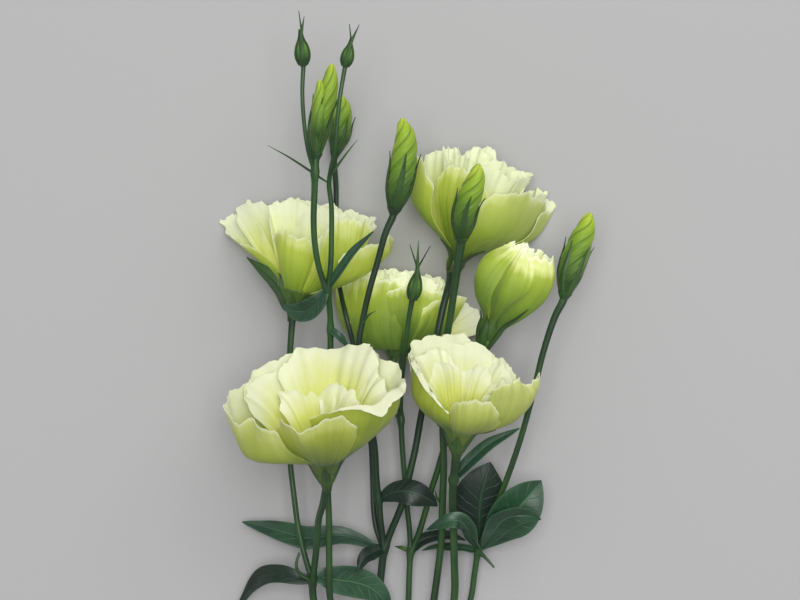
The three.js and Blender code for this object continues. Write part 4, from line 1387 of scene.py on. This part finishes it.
FLOWERS = (
    Flower("front_left", (-33.5, 175, 72), -4.5, 27, 47.6, 41, 11, 0.72, 0.7, (
        draped((124, (28, 25), (50, 41), (69, 60), (84, 86)), (149, (45, 26), (76, 38), (85, 61), (86, 85)),
               (166, (50, 22), (83, 32), (93, 52), (97, 75)),
               (182, (50, 17), (82, 26), (94, 50), (101, 82)),
               (206, (50, 22), (80, 34), (94, 57), (99, 82)), (232, (45, 27), (70, 42), (85, 62), (92, 84)),
               pale=0.1),
        draped((56, (29, 24), (46, 38), (64, 58), (76, 75)), (66, (30, 25), (51, 46), (70, 70), (79, 92)),
               (78, (30, 26), (53, 50), (71, 75), (80, 97)), (92, (30, 26), (54, 50), (72, 73), (82, 94)),
               (106, (29, 26), (51, 48), (72, 68), (86, 87)), (122, (27, 25), (46, 43), (61, 63), (74, 90)),
               (142, (26, 24), (42, 39), (55, 56), (63, 80)), wave=0.4),
        draped((-12, (32, 24), (60, 46), (80, 66), (86, 82), (90, 88)),
               (6, (32, 24), (62, 46), (85, 68), (90, 93), (97, 98)),
               (20, (31, 24), (60, 46), (84, 70), (90, 99), (100, 96)),
               (35, (31, 25), (60, 48), (84, 76), (90, 105), (100, 99)),
               (50, (30, 25), (58, 50), (82, 80), (93, 104), (101.5, 95)),
               (64, (28, 25), (52, 52), (72, 80), (84, 106), (88, 104)),
               (80, (25, 25), (45, 52), (60, 75), (68, 95), (70, 97)),
               (100, (22, 25), (38, 50), (50, 70), (58, 86), (60, 90)), wave=0.5),
        Petal(312, 46, 0.95, 0.95, sag=0.3, wave=2.6, ruffles=7),
        Petal(244, 44, 0.96, 0.88, sag=0.5, wave=1.6),
        inner(284, 58, 0.78, 1.12, wave=3.4, ruffles=5, lean=0.05, pleats=0.9, curl=0.4),
        inner(222, 50, 0.8, 0.9, wave=1.4, pleats=0.15, curl=0.4),
        inner(335, 46, 0.68, 0.95, wave=3.0, ruffles=4, pleats=0.6, curl=0.5),
        inner(258, 60, 0.52, 0.86, wave=3.4, ruffles=4, pleats=0.8, curl=0.8),
        inner(310, 42, 0.44, 0.8, wave=2.8, ruffles=5, pleats=0.7, curl=0.8),
    ), (
        Sepal(90, 8, 2.2), Sepal(14, 15, 2.4, 1.3, 25), Sepal(300, 14, 2.2), Sepal(235, 12, 2.2),
        Sepal(164, 12, 2.4, 1.3, 25),
    ), PetalTone.CREAM, "petal_cream", cup=(8.4, 8.6)),
    Flower("front_right", (26.5, 188.5, 60), 6.7, 28, 40, 32, 23, 0.72, 0.6, (
        draped((112, (27, 28), (37, 38), (46, 48), (50, 58), (54, 57)),
               (130, (30, 28), (44, 40), (53, 53), (54, 70), (58, 69)),
               (150, (34, 27), (50, 42), (60, 58), (57, 77), (62, 75)),
               (170, (34, 26), (60, 42), (71, 60), (65, 88), (71, 86)),
               (190, (33, 26), (62, 44), (78, 66), (77, 94), (83, 92)),
               (206, (33, 26), (60, 45), (80, 66), (88, 88), (93, 90)), wave=0.4),
        draped((38, (32, 25), (52, 36), (64, 47), (69, 57)), (50, (33, 26), (55, 42), (70, 58), (74, 74)),
               (64, (33, 26), (55, 43), (71, 63), (74, 87)), (84, (33, 27), (54, 43), (70, 63), (75, 90)),
               (98, (32, 27), (49, 41), (62, 59), (66, 82)), (112, (29, 27), (38, 39), (45, 51), (49, 64)),
               wave=0.3, fine=0.3, pale=0.12),
        draped((-12, (34, 25), (70, 43), (90, 65), (100, 84), (105, 95)),
               (4, (34, 25), (72, 41), (94, 63), (102, 84), (99, 99)),
               (18, (34, 25), (70, 41), (90, 62), (97, 84), (86, 97)),
               (30, (35, 24), (65, 42), (82, 62), (88, 90), (80, 109)),
               (42, (33, 25), (58, 43), (74, 67), (80, 95), (78, 109)),
               (58, (30, 25), (48, 43), (62, 70), (70, 92), (76, 100)), wave=0.6, pale=0.2),
        Petal(308, 42, 0.76, 0.9, sag=0.3, wave=1.8), Petal(240, 48, 0.95, 1.0, sag=0.2, wave=1.6),
        inner(207, 44, 0.7, 1.0, wave=1.6, curl=0.2),
        inner(270, 54, 0.72, 1.03, wave=3.4, ruffles=5, pleats=0.7, curl=0.5),
        inner(330, 46, 0.66, 0.93, wave=3.0, ruffles=5, curl=0.5),
        inner(10, 50, 0.56, 0.88, wave=2.6, curl=0.3),
        inner(235, 52, 0.52, 0.94, wave=3.4, ruffles=5, pleats=0.6, curl=0.8),
        inner(300, 50, 0.48, 0.9, wave=3.2, ruffles=5, pleats=0.6, curl=0.8),
    ), (
        Sepal(96, 8, 2.2), Sepal(24, 18, 2.2, 1.6, 20), Sepal(165, 11, 2.4, 1.3, 20), Sepal(235, 12, 2.2),
        Sepal(305, 13, 2.2),
    ), PetalTone.CREAM, "petal_cream", cup=(7.6, 7.8)),
    Flower("back_left", (-49, 252, 33), 11, 10, 43, 40.5, 37, 0.6, 0.6, (
        draped((166, (26, 30), (36, 40), (50, 48), (66, 54)), (172, (34, 30), (50, 41), (66, 49), (82, 57)),
               (180, (34, 28), (54, 40), (76, 51), (98, 62)),
               (190, (30, 24), (55, 40), (82, 54), (107, 69)),
               (204, (30, 26), (55, 44), (80, 60), (108, 78)),
               (220, (28, 28), (50, 48), (72, 66), (95, 84)), wave=0.5),
        draped((-22, (28, 22), (54, 42), (74, 60), (88, 78), (95, 90)),
               (-8, (28, 20), (56, 40), (78, 58), (92, 74), (98, 86)),
               (6, (28, 18), (56, 37), (80, 56), (96, 76), (93, 93)),
               (20, (28, 17), (56, 34), (80, 52), (95, 74), (92, 90)),
               (32, (25, 16), (50, 30), (70, 45), (80, 64), (80, 84)),
               (46, (20, 15), (40, 24), (54, 36), (60, 52), (58, 66)), wave=0.5),
        draped((12, (28, 22), (50, 46), (66, 75), (74, 105)), (28, (28, 22), (50, 46), (62, 75), (62, 108)),
               (40, (28, 22), (48, 46), (55, 75), (51, 108)), (52, (28, 22), (46, 45), (50, 72), (45, 100)),
               (66, (26, 20), (44, 42), (48, 62), (46, 84)), wave=0.5),
        draped((68, (16, 20), (27, 40), (34, 60), (40, 76)), (88, (20, 20), (35, 40), (44, 60), (50, 79)),
               (108, (22, 20), (37, 40), (47, 60), (53, 82)), (125, (22, 20), (37, 41), (46, 62), (49, 81)),
               (142, (20, 20), (33, 42), (41, 62), (46, 77)), (158, (13, 22), (23, 37), (34, 54), (43, 68)),
               wave=0.25, fine=0.35),
        Petal(225, 40, 1.0, 0.9, open=1.0), Petal(270, 42, 0.82, 1.02), Petal(318, 42, 0.82, 1.02),
        inner(240, 55, 0.55, 1.03), inner(300, 55, 0.5, 1.02), inner(20, 50, 0.4, 0.96),
    ), (
        Sepal(166, 27, 4.6, 3.4, 60), Sepal(105, 7, 1.8), Sepal(50, 9, 1.8), Sepal(330, 12, 2.4),
        Sepal(265, 12, 2.4),
    ), PetalTone.LIME, "petal_lime", hang_left=30, hang_right=6),
    Flower("back_right", (26, 270.5, 31), 17.5, 5, 50, 33.5, 41, 0.5, 0.86, (
        # pale on the two right-hand petals lightens their outer faces: painted light falling from the right.
        Petal(40, 48, 0.96, 0.86, open=0.6, sag=0.7, wave=0.8, round=0.25, out=0.8, pale=0.12),
        Petal(345, 42, 1.1, 0.84, sag=0.9, wave=2.2, ruffles=7, pleats=0.4, pale=0.15),
        Petal(115, 38, 0.74, 0.89, sag=0.6, wave=0.8, out=-0.8),
        Petal(172, 44, 0.95, 0.86, sag=0.95, wave=0.9, out=0.6, round=0.25),
        Petal(225, 42, 0.86, 0.95, sag=0.5), Petal(285, 46, 0.82, 1.0, sag=0.4), inner(200, 45, 0.6, 1.02),
        inner(262, 45, 0.55, 1.1, round=0.4), inner(325, 42, 0.72, 1.02), inner(20, 45, 0.62, 0.97),
        inner(80, 45, 0.5, 0.97), inner(140, 45, 0.5, 1.0), inner(60, 70, 0.3, 1.05),
        inner(240, 70, 0.3, 1.08), inner(352, 50, 0.92, 0.92, sag=0.8, wave=2.6, ruffles=6, pleats=0.5),
    ), (
        Sepal(100, 10, 3), Sepal(35, 15, 2.8), Sepal(165, 12, 2.8), Sepal(235, 12, 2.4),
        Sepal(310, 12, 2.4),
    ), PetalTone.LIME, "petal_lime", hang_left=6, hang_right=28),
    Flower("middle", (-1.4, 225, 20), 7, 2, 43, 36, 53, 0.42, 0.62, (
        draped((88, (24, 14), (46, 30), (60, 50), (69, 70), (70, 86)),
               (108, (28, 12), (52, 26), (66, 46), (72, 68), (72, 88)),
               (128, (32, 11), (58, 23), (74, 42), (80, 66), (79, 88)),
               (148, (36, 10), (64, 21), (82, 39), (88, 62), (87, 83)),
               (166, (38, 10), (67, 20), (86, 37), (92, 58), (93, 77)), wave=1.4),
        Petal(78, 38, 0.76, 0.84, sag=0.6, wave=2.4, ruffles=8, pleats=0.4),
        Petal(30, 40, 0.76, 0.8, sag=0.5, out=0.6, wave=2, pleats=0.4),
        Petal(185, 42, 0.93, 0.75, sag=0.95),
        draped((-62, (30, 20), (60, 45), (85, 65), (100, 80)),
               (-42, (30, 18), (65, 38), (95, 54), (115, 66)),
               (-22, (30, 16), (65, 32), (95, 44), (116, 54)),
               (-4, (30, 14), (62, 26), (90, 35), (110, 42)), pleats=1.1, wave=1.6),
        Petal(290, 45, 0.78, 0.93), Petal(235, 42, 0.74, 0.92), inner(60, 50, 0.5, 0.93, wave=2),
        inner(120, 50, 0.5, 0.95, wave=2), inner(180, 50, 0.52, 0.93), inner(240, 55, 0.45, 0.97),
        inner(320, 55, 0.5, 0.95), inner(0, 50, 0.62, 0.88), inner(90, 80, 0.3, 0.97),
        inner(270, 80, 0.3, 0.98),
    ), (
        Sepal(100, 14, 2.6), Sepal(40, 12, 2.4), Sepal(160, 12, 2.4), Sepal(220, 12, 2.2),
        Sepal(300, 12, 2.2),
    ), PetalTone.OLIVE, "petal_lime", hang_left=16, hang_right=10),
    Flower("half_open", (39.5, 235, 48), 23, 14, 46.6, 18.9, 67, 0.75, 0.75, (
        draped((120, (30, 22), (55, 42), (60, 58), (46, 78), (24, 98)),
               (140, (30, 22), (66, 42), (74, 60), (60, 80), (26, 100)),
               (165, (32, 24), (72, 42), (88, 62), (78, 80), (34, 100)),
               (190, (32, 26), (76, 46), (88, 64), (78, 82), (34, 100)),
               (220, (30, 28), (70, 48), (85, 68), (76, 84), (32, 100)), wave=0.2, pleats=0.06),
        draped((58, (14, 26), (36, 44), (76, 63), (84, 80), (50, 97)),
               (78, (28, 26), (60, 44), (86, 63), (84, 80), (42, 99)),
               (98, (28, 26), (60, 44), (80, 62), (76, 80), (36, 100)),
               (116, (24, 26), (46, 44), (55, 60), (52, 80), (28, 98)),
               (134, (20, 26), (40, 44), (46, 60), (40, 78), (20, 96)), wave=0.15, pleats=0.06),
        draped((-45, (33, 22), (62, 42), (76, 62), (74, 84), (50, 100)),
               (-18, (34, 20), (66, 40), (90, 62), (90, 84), (64, 102)),
               (10, (33, 19), (70, 40), (95, 62), (96, 84), (74, 102)),
               (32, (30, 19), (60, 40), (84, 62), (88, 84), (62, 102)),
               (52, (22, 20), (44, 40), (66, 62), (72, 82), (44, 100)),
               (70, (18, 22), (36, 42), (52, 62), (56, 80), (34, 97)), wave=0.2, pleats=0.06),
        Petal(265, 60, 0.8, 1.0, sag=0.8, close=0.4),
        inner(340, 50, 0.5, 1.03, sag=0.8, close=0.2, wave=1.4, pale=0.3),
        inner(150, 70, 0.38, 1.0, sag=0.8, close=0.5, wave=1.2, pale=0.3),
        inner(30, 50, 0.46, 1.02, sag=0.8, close=0.3, wave=1.4, pale=0.3),
        inner(250, 60, 0.4, 1.03, sag=0.8, close=0.4, wave=1.2, pale=0.3),
    ), (
        Sepal(35, 25, 2.2), Sepal(120, 13, 2.8), Sepal(185, 12, 2.6), Sepal(250, 12, 2.2),
        Sepal(320, 14, 2.2),
    ), PetalTone.OLIVE, "petal_lime", cup=(5.4, 6.5)),
)

BUDS = (
    Bud("tall_left", ((-37.5, 319.5, 79), (-35.5, 334, 80), (-32, 347.5, 82), (-29.5, 359, 83)), 4.9, 170,
        30, hook=-0.8, partner=(((-36.5, 324, 81.5), (-36.5, 338, 84), (-35, 352, 85)), 3.2)),
    Bud("low_left", ((-30.5, 324.5, 11), (-28, 336.5, 14), (-26.5, 350.5, 16)), 5.2, 200, 60),
    Bud("centre", ((-2.5, 295.5, 61), (0, 308, 63), (2.3, 321.5, 65), (2.8, 336, 66)), 6.3, 300, 300),
    Bud("front", ((28, 282, 62), (29.5, 294.5, 66), (33.5, 305.5, 70), (36.5, 314.5, 73)), 5.8, 220, 12,
        hook=-0.8),
    Bud("right", ((76, 257, 50), (79.2, 269.5, 51.5), (84, 283, 53), (88.5, 293, 54)), 6.1, 260, 340,
        hook=-1.2),
)

CLOSED_BUDS = {
    "left_tip": ClosedBud(((-43, 357.5, 88), (-43.5, 365, 89), (-44.5, 374, 90)), 3.5,
        ((-45, 382, 91), (-42.5, 379.5, 92))),
    "right_tip": ClosedBud(((-24.5, 357, 89), (-23, 363, 90), (-21.5, 370, 91)), 2.9,
        ((-22.5, 376, 92), (-18, 376, 91))),
    "small": ClosedBud(((5.5, 253, 43), (7, 260, 44), (8.5, 270, 45)), 3.4,
        ((4.5, 279, 47), (8.5, 281, 46), (14, 278.5, 46))),
}

STEMS = (
    Stem("stem_a", (-7.9, -4, 0), (2, 1.75), (
        (-15, 35, 6), (-29, 76, 15), (-40.5, 112.5, 25), (-41, 123, 28)
    ), branches=(
        Branch(((-41, 122, 28), (-44, 131.5, 28), (-47.5, 146, 28), (-50, 164.5, 28), (-51.5, 178.5, 28),
               (-52, 206.5, 28), (-51.5, 228, 30)), (1.3, 1.3), "back_left"),
        Branch(((-41, 122, 28), (-39, 137, 36), (-37.5, 152, 49), (-35, 161, 62)), (1.5, 1.4), "front_left"),
        Branch(((-42, 122, 28), (-47, 125.5, 30), (-48.5, 129.5, 31), (-47, 135.5, 31)), (0.9, 0.6)),
    ), leaves=(
        Leaf(((-41.5, 122, 28), (-48, 123.5, 29), (-55.5, 125, 27), (-63, 124, 22), (-69, 119, 14),
             (-74, 112, 9), (-78.5, 104, 6)), 4.2, (0, 0.3, 1), (-0.8, 0.2, 0.6), tone=GreenTone.DARK),
        Leaf(((-40.5, 123, 28), (-35.5, 123.5, 27), (-29, 122, 25), (-21.5, 120.5, 21), (-14, 117.5, 18),
             (-8, 111.5, 16), (-5, 103.5, 12)), 7, (0, 0.2, 1), (0.5, 0.1, 0.9)),
    )),
    Stem("stem_b", (-5.9, 3, 4.1), (1.6, 1.4), (
        (-9, 40, 9), (-22, 76, 20), (-32.5, 113, 30), (-33, 132.5, 34.5), (-33, 151.5, 38),
        (-33.5, 168.5, 41), (-32.5, 207.5, 46.5), (-32, 233, 50), (-32, 246.5, 54.5), (-33, 259, 61)
    ), branches=(
        Branch(((-33, 257, 60.5), (-36.5, 267, 65), (-38.5, 278.5, 69), (-39, 289.5, 72), (-38.5, 303, 75)),
               (1.3, 1.3), "tall_left"),
        Branch(((-38.4, 311, 76.5), (-41, 320, 84), (-42.7, 332, 87), (-43.5, 346, 88)), (0.9, 0.75),
               "left_tip"),
        Branch(((-33, 257, 60.5), (-31.5, 269.5, 65), (-31, 283, 69), (-31, 296.5, 73), (-32, 305.5, 75.5),
               (-31, 312, 80), (-29, 320, 86), (-28, 332, 89), (-26.5, 345, 90)), (1.3, 0.75), "right_tip"),
    ), leaves=(
        Leaf(((-32.5, 259, 61.5), (-26.5, 268, 68), (-20.5, 276, 71), (-12, 284.5, 70)), 2.2,
             (-0.5, 0.6, 1), root=0.9, wave=0.2),
        Leaf(((-33.5, 258.5, 61.5), (-37.5, 252.5, 61), (-43, 248.5, 57), (-48.5, 248.5, 53),
             (-53.5, 251, 50)), 4.6, (-0.2, -0.3, 1), (-0.3, 0.2, 1), fold=0.35, widest=0.5),
        Leaf(((-31.8, 240, 53), (-28, 237, 54), (-24, 232, 51)), 1.6, (0.3, 0.3, 1), root=0.8, wave=0.1),
    ), bracts=(
        (((-32, 306, 75.6), (-39.5, 311, 73), (-49.5, 317.5, 75.5), (-59.5, 323, 79)), 0.45),
        (((-31.4, 309, 78), (-25, 318, 79), (-19, 325.5, 80)), 0.45),
    )),
    Stem("stem_c", (-3.7, -9, 0), (1.8, 1.8), (
        (-5.5, 35, 3.5), (-8, 76, 7), (-10, 111, 11), (-9, 123, 13), (-7.5, 137, 16.5)
    ), branches=(
        Branch(((-7.5, 135.5, 16.4), (-11, 144.5, 15), (-12.5, 154, 14.5), (-13, 168.5, 15),
               (-14, 187.5, 17), (-18, 208.5, 20), (-22, 232.5, 24), (-25.5, 246.5, 25), (-28, 257, 19),
               (-30, 270, 10), (-30.5, 284, 6), (-30.5, 296, 5), (-30.5, 308, 6.5)), (1.2, 1.1), "low_left"),
        Branch(((-7.5, 135.5, 16.4), (-9, 147.5, 20), (-10, 159.5, 24), (-11, 169, 27), (-12, 186, 32),
               (-16, 207, 39), (-19, 232.5, 46), (-17, 245, 49), (-14, 258, 53), (-10, 272, 56),
               (-6.5, 284.5, 59)), (1.5, 1.3), "centre"),
        Branch(((-7.5, 135.5, 16.4), (-4, 145, 19), (-0.5, 153.5, 22), (2, 160.5, 24), (4, 170, 26),
               (7, 183, 28), (10, 200, 31), (13.5, 218.5, 36), (17, 236, 40), (19.5, 248, 41),
               (21.8, 257, 38.5)), (1.6, 1.5), "back_right"),
    ), leaves=(
        Leaf(((-8.5, 137, 17), (-14, 138, 17), (-20, 140.5, 18), (-28, 142.5, 19), (-36, 142, 19),
             (-44, 141, 17.5), (-53, 143, 15), (-61, 145, 12.5), (-68.5, 146.5, 11), (-75, 148, 10)), 5.2,
             (0, 0.25, 1), widest=0.55, rows=64),
        Leaf(((-7.5, 136, 17), (-12.5, 134.5, 20), (-16.5, 132, 23), (-20, 126, 25)), 3.6, (-0.3, 0.4, 1),
             tone=GreenTone.DARK),
        Leaf(((-10, 159.5, 24), (-6.5, 162, 28), (-1.5, 164, 31), (4, 164, 33), (9.5, 162.5, 33),
             (14, 160, 31), (17.5, 157, 28.5)), 5.8, (0, 0.2, 1), widest=0.55, fold=-0.2,
             tone=GreenTone.DARK),
    ), bracts=(
        (((-17.6, 242, 48.6), (-14.5, 246.5, 52.5), (-11, 248.5, 53)), 0.6),
    ), tone=StemTone.SHADE, slot="stem_shade"),
    Stem("stem_d", (0, -8, 0), (1.5, 1.4), (
        (0.8, 35, 2.5), (2.4, 76, 5.5), (4, 111, 10), (4.5, 125.5, 12), (5, 135, 13)
    ), branches=(
        Branch(((5, 133.5, 13), (4.5, 144.5, 14.5), (3.5, 154, 16), (2.5, 166, 17.5), (1, 185, 20),
               (0.3, 199.5, 21.5)), (1.2, 1.3), "middle"),
        Branch(((0.4, 197, 21.2), (0.6, 208, 26), (1, 216, 30), (2, 225.5, 34), (3, 235, 38),
               (4, 244.5, 41)), (0.9, 0.9), "small"),
        Branch(((5, 133.5, 13), (8.5, 142, 15), (12, 153.5, 18), (14.5, 163, 20), (18, 174.5, 23),
               (24.5, 197.5, 28), (31.5, 216, 35), (35, 223.5, 41)), (1.4, 1.4), "half_open"),
    ), leaves=(
        Leaf(((5.5, 134.5, 13.5), (10.5, 139.5, 14.5), (17, 141.5, 13.5), (24.5, 141.5, 12.5),
             (31, 139.5, 12)), 3.2, (0, 1, 0.9), wave=0.2, tone=GreenTone.DARK),
    ), bracts=(
        (((4.5, 134.5, 13), (1, 136, 13.5), (-2.5, 136.5, 11)), 1.0),
        (((0.4, 196, 21.2), (-2.5, 200, 23), (-4.5, 202, 23)), 0.55),
    )),
    Stem("stem_e", (3.6, -2, 0), (1.7, 1.6), (
        (6, 35, 3.2), (11, 76, 7), (16, 111, 13), (18, 126, 16), (19.5, 140, 19), (20, 159.5, 25),
        (20.5, 178.5, 30), (20, 193, 33), (20.5, 214, 38), (21.5, 234, 43), (23.5, 248, 49), (25, 259, 54),
        (26.5, 270, 58)
    ), carries="front", bracts=(
        (((20, 157, 24), (17.5, 160.5, 24.5), (16.5, 164, 24)), 0.6),
    )),
    Stem("stem_f", (5.2, 6, 4.1), (1.85, 1.7), (
        (8.5, 42, 7.5), (17, 76, 13), (25.5, 112, 19), (25.5, 131.5, 24), (25, 146, 28), (24.5, 160.5, 36),
        (24.8, 171, 47)
    ), carries="front_right", leaves=(
        Leaf(((25, 171, 46.5), (32, 179, 48), (41, 187, 50), (48, 191, 51), (55, 194.5, 50)), 3,
             (-0.3, 0.4, 1), root=1, wave=0.2),
    )),
    Stem("stem_g", (7, -6, 0), (1.4, 1.4), (
        (12, 35, 2.5), (22, 76, 5.5), (33.5, 111, 10), (35.5, 124.5, 12), (37.2, 135, 14),
        (39.5, 142.5, 17), (44, 154, 23), (49, 167, 29), (56, 188.5, 36), (61.5, 209.5, 41),
        (66.5, 230.5, 45), (71.5, 246, 48)
    ), carries="right", branches=(
        Branch(((37.5, 134, 14), (40.5, 131.5, 16), (44.5, 127, 17)), (0.9, 0.5)),
    ), leaves=(
        Leaf(((36.5, 136, 15), (34, 140.5, 22), (31.5, 147, 32), (27, 151, 37.5), (21.5, 150.5, 37.5),
             (17, 148.5, 34), (12.5, 146, 30)), 4.4, (-0.6, 0.2, 1), (-0.2, 0.2, 1), fold=0.15),
        Leaf(((38.5, 136, 15), (43, 141, 20), (49.5, 149, 28), (55, 156, 32), (60.5, 162.5, 33),
             (66, 169, 31)), 11, (0.3, 0.1, 1), widest=0.6),
        Leaf(((39, 136.5, 16), (43, 143.5, 26), (48, 151, 35), (53.5, 153.5, 40), (59.5, 153.5, 40),
             (65.5, 151.5, 37)), 6, (0.1, -0.5, 1), widest=0.55),
        Leaf(((37.5, 136.5, 14), (37.5, 143.5, 15), (37.5, 152, 17), (38, 160, 19), (40, 168.5, 21),
             (42.5, 177, 22)), 12, (0, -0.15, 1), widest=0.55, fold=-0.12, tone=GreenTone.DARK),
        Leaf(((36.5, 134.2, 13.5), (31, 135.5, 12.5), (23.5, 136, 11.5), (16, 136, 11), (10.5, 134.5, 11)),
             2.6, (0, 1, 0.6), wave=0.2),
    )),
)

CARRIED = {carried.name: carried for carried in (*FLOWERS, *BUDS)} | CLOSED_BUDS


@dataclass
class Studio:
    """The table, the lights and the camera, in metres but for the camera's millimetres."""

    floor: float = 6.0
    table: FloorFinish = FloorFinish(rgb(175, 175, 175))
    lamps: tuple[tuple[str, Point, float, float], ...] = (
        ("key", (0.5, 1.2, 1.6), 1.4, 12.5), ("overhead", (0, 0.35, 2.2), 0.9, 27))
    lit: Point = (0, 0.24, 0.04)
    sky: float = 0.37
    camera_place: Point = (0, 253.5, 1250)
    focus_height: float = 50.0
    picture_width: float = 368.0
    sensor: float = 36.0

    def add(self, name: str, data: bpy.types.ID) -> bpy.types.Object:
        """Puts something in the scene.

        Args:
            name: Its name.
            data: Its mesh, light or camera.

        Returns:
            The new object.
        """
        thing = bpy.data.objects.new(name, data)
        bpy.context.scene.collection.objects.link(thing)
        return thing

    def lay_table(self) -> None:
        """Makes the table top."""
        mesh = bpy.data.meshes.new("table_top")
        half = self.floor / 2
        corners = [(-half, -half, 0), (half, -half, 0), (half, half, 0), (-half, half, 0)]
        mesh.from_pydata(corners, [], [(0, 1, 2, 3)])
        mesh.materials.append(self.table.material("table"))
        self.add("table_top", mesh)

    def lamp(self, name: str, place: Point, side: float, power: float) -> None:
        """Adds a soft square lamp that faces the bunch.

        Args:
            name: The lamp's name.
            place: Where it is.
            side: How long its sides are.
            power: Its power in watts.
        """
        light = bpy.data.lights.new(name, "AREA")
        light.shape = "SQUARE"
        light.size = side
        light.energy = power
        lamp = self.add(name, light)
        lamp.location = place
        lamp.rotation_euler = (Vector(self.lit) - Vector(place)).to_track_quat("-Z", "Y").to_euler()

    def light(self) -> None:
        """Sets up soft light from above, shown with plain colours."""
        bpy.context.scene.view_settings.view_transform = "Standard"
        for lamp in self.lamps:
            self.lamp(*lamp)
        world = bpy.data.worlds.new("studio")
        world.use_nodes = True
        background = world.node_tree.nodes["Background"]
        background.inputs["Color"].default_value = (1, 1, 1, 1)
        background.inputs["Strength"].default_value = self.sky
        bpy.context.scene.world = world

    def shoot(self) -> None:
        """Adds the camera, straight above the bunch."""
        lens = bpy.data.cameras.new("camera")
        lens.sensor_width = self.sensor
        lens.lens = self.sensor * (self.camera_place[2] - self.focus_height) / self.picture_width
        camera = self.add("camera", lens)
        camera.location = Vector(self.camera_place) * MM
        bpy.context.scene.camera = camera

    def build(self) -> None:
        """Sets up the table, the lights and the camera."""
        self.lay_table()
        self.light()
        self.shoot()


def main() -> None:
    """Builds the studio and every piece of the bunch, in order."""
    logging.basicConfig(level=logging.INFO, format="%(name)s: %(message)s")
    for model in (Studio(), *STEMS, *FLOWERS, *BUDS):
        model.build()
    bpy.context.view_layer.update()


if __name__ == "__main__":
    main()
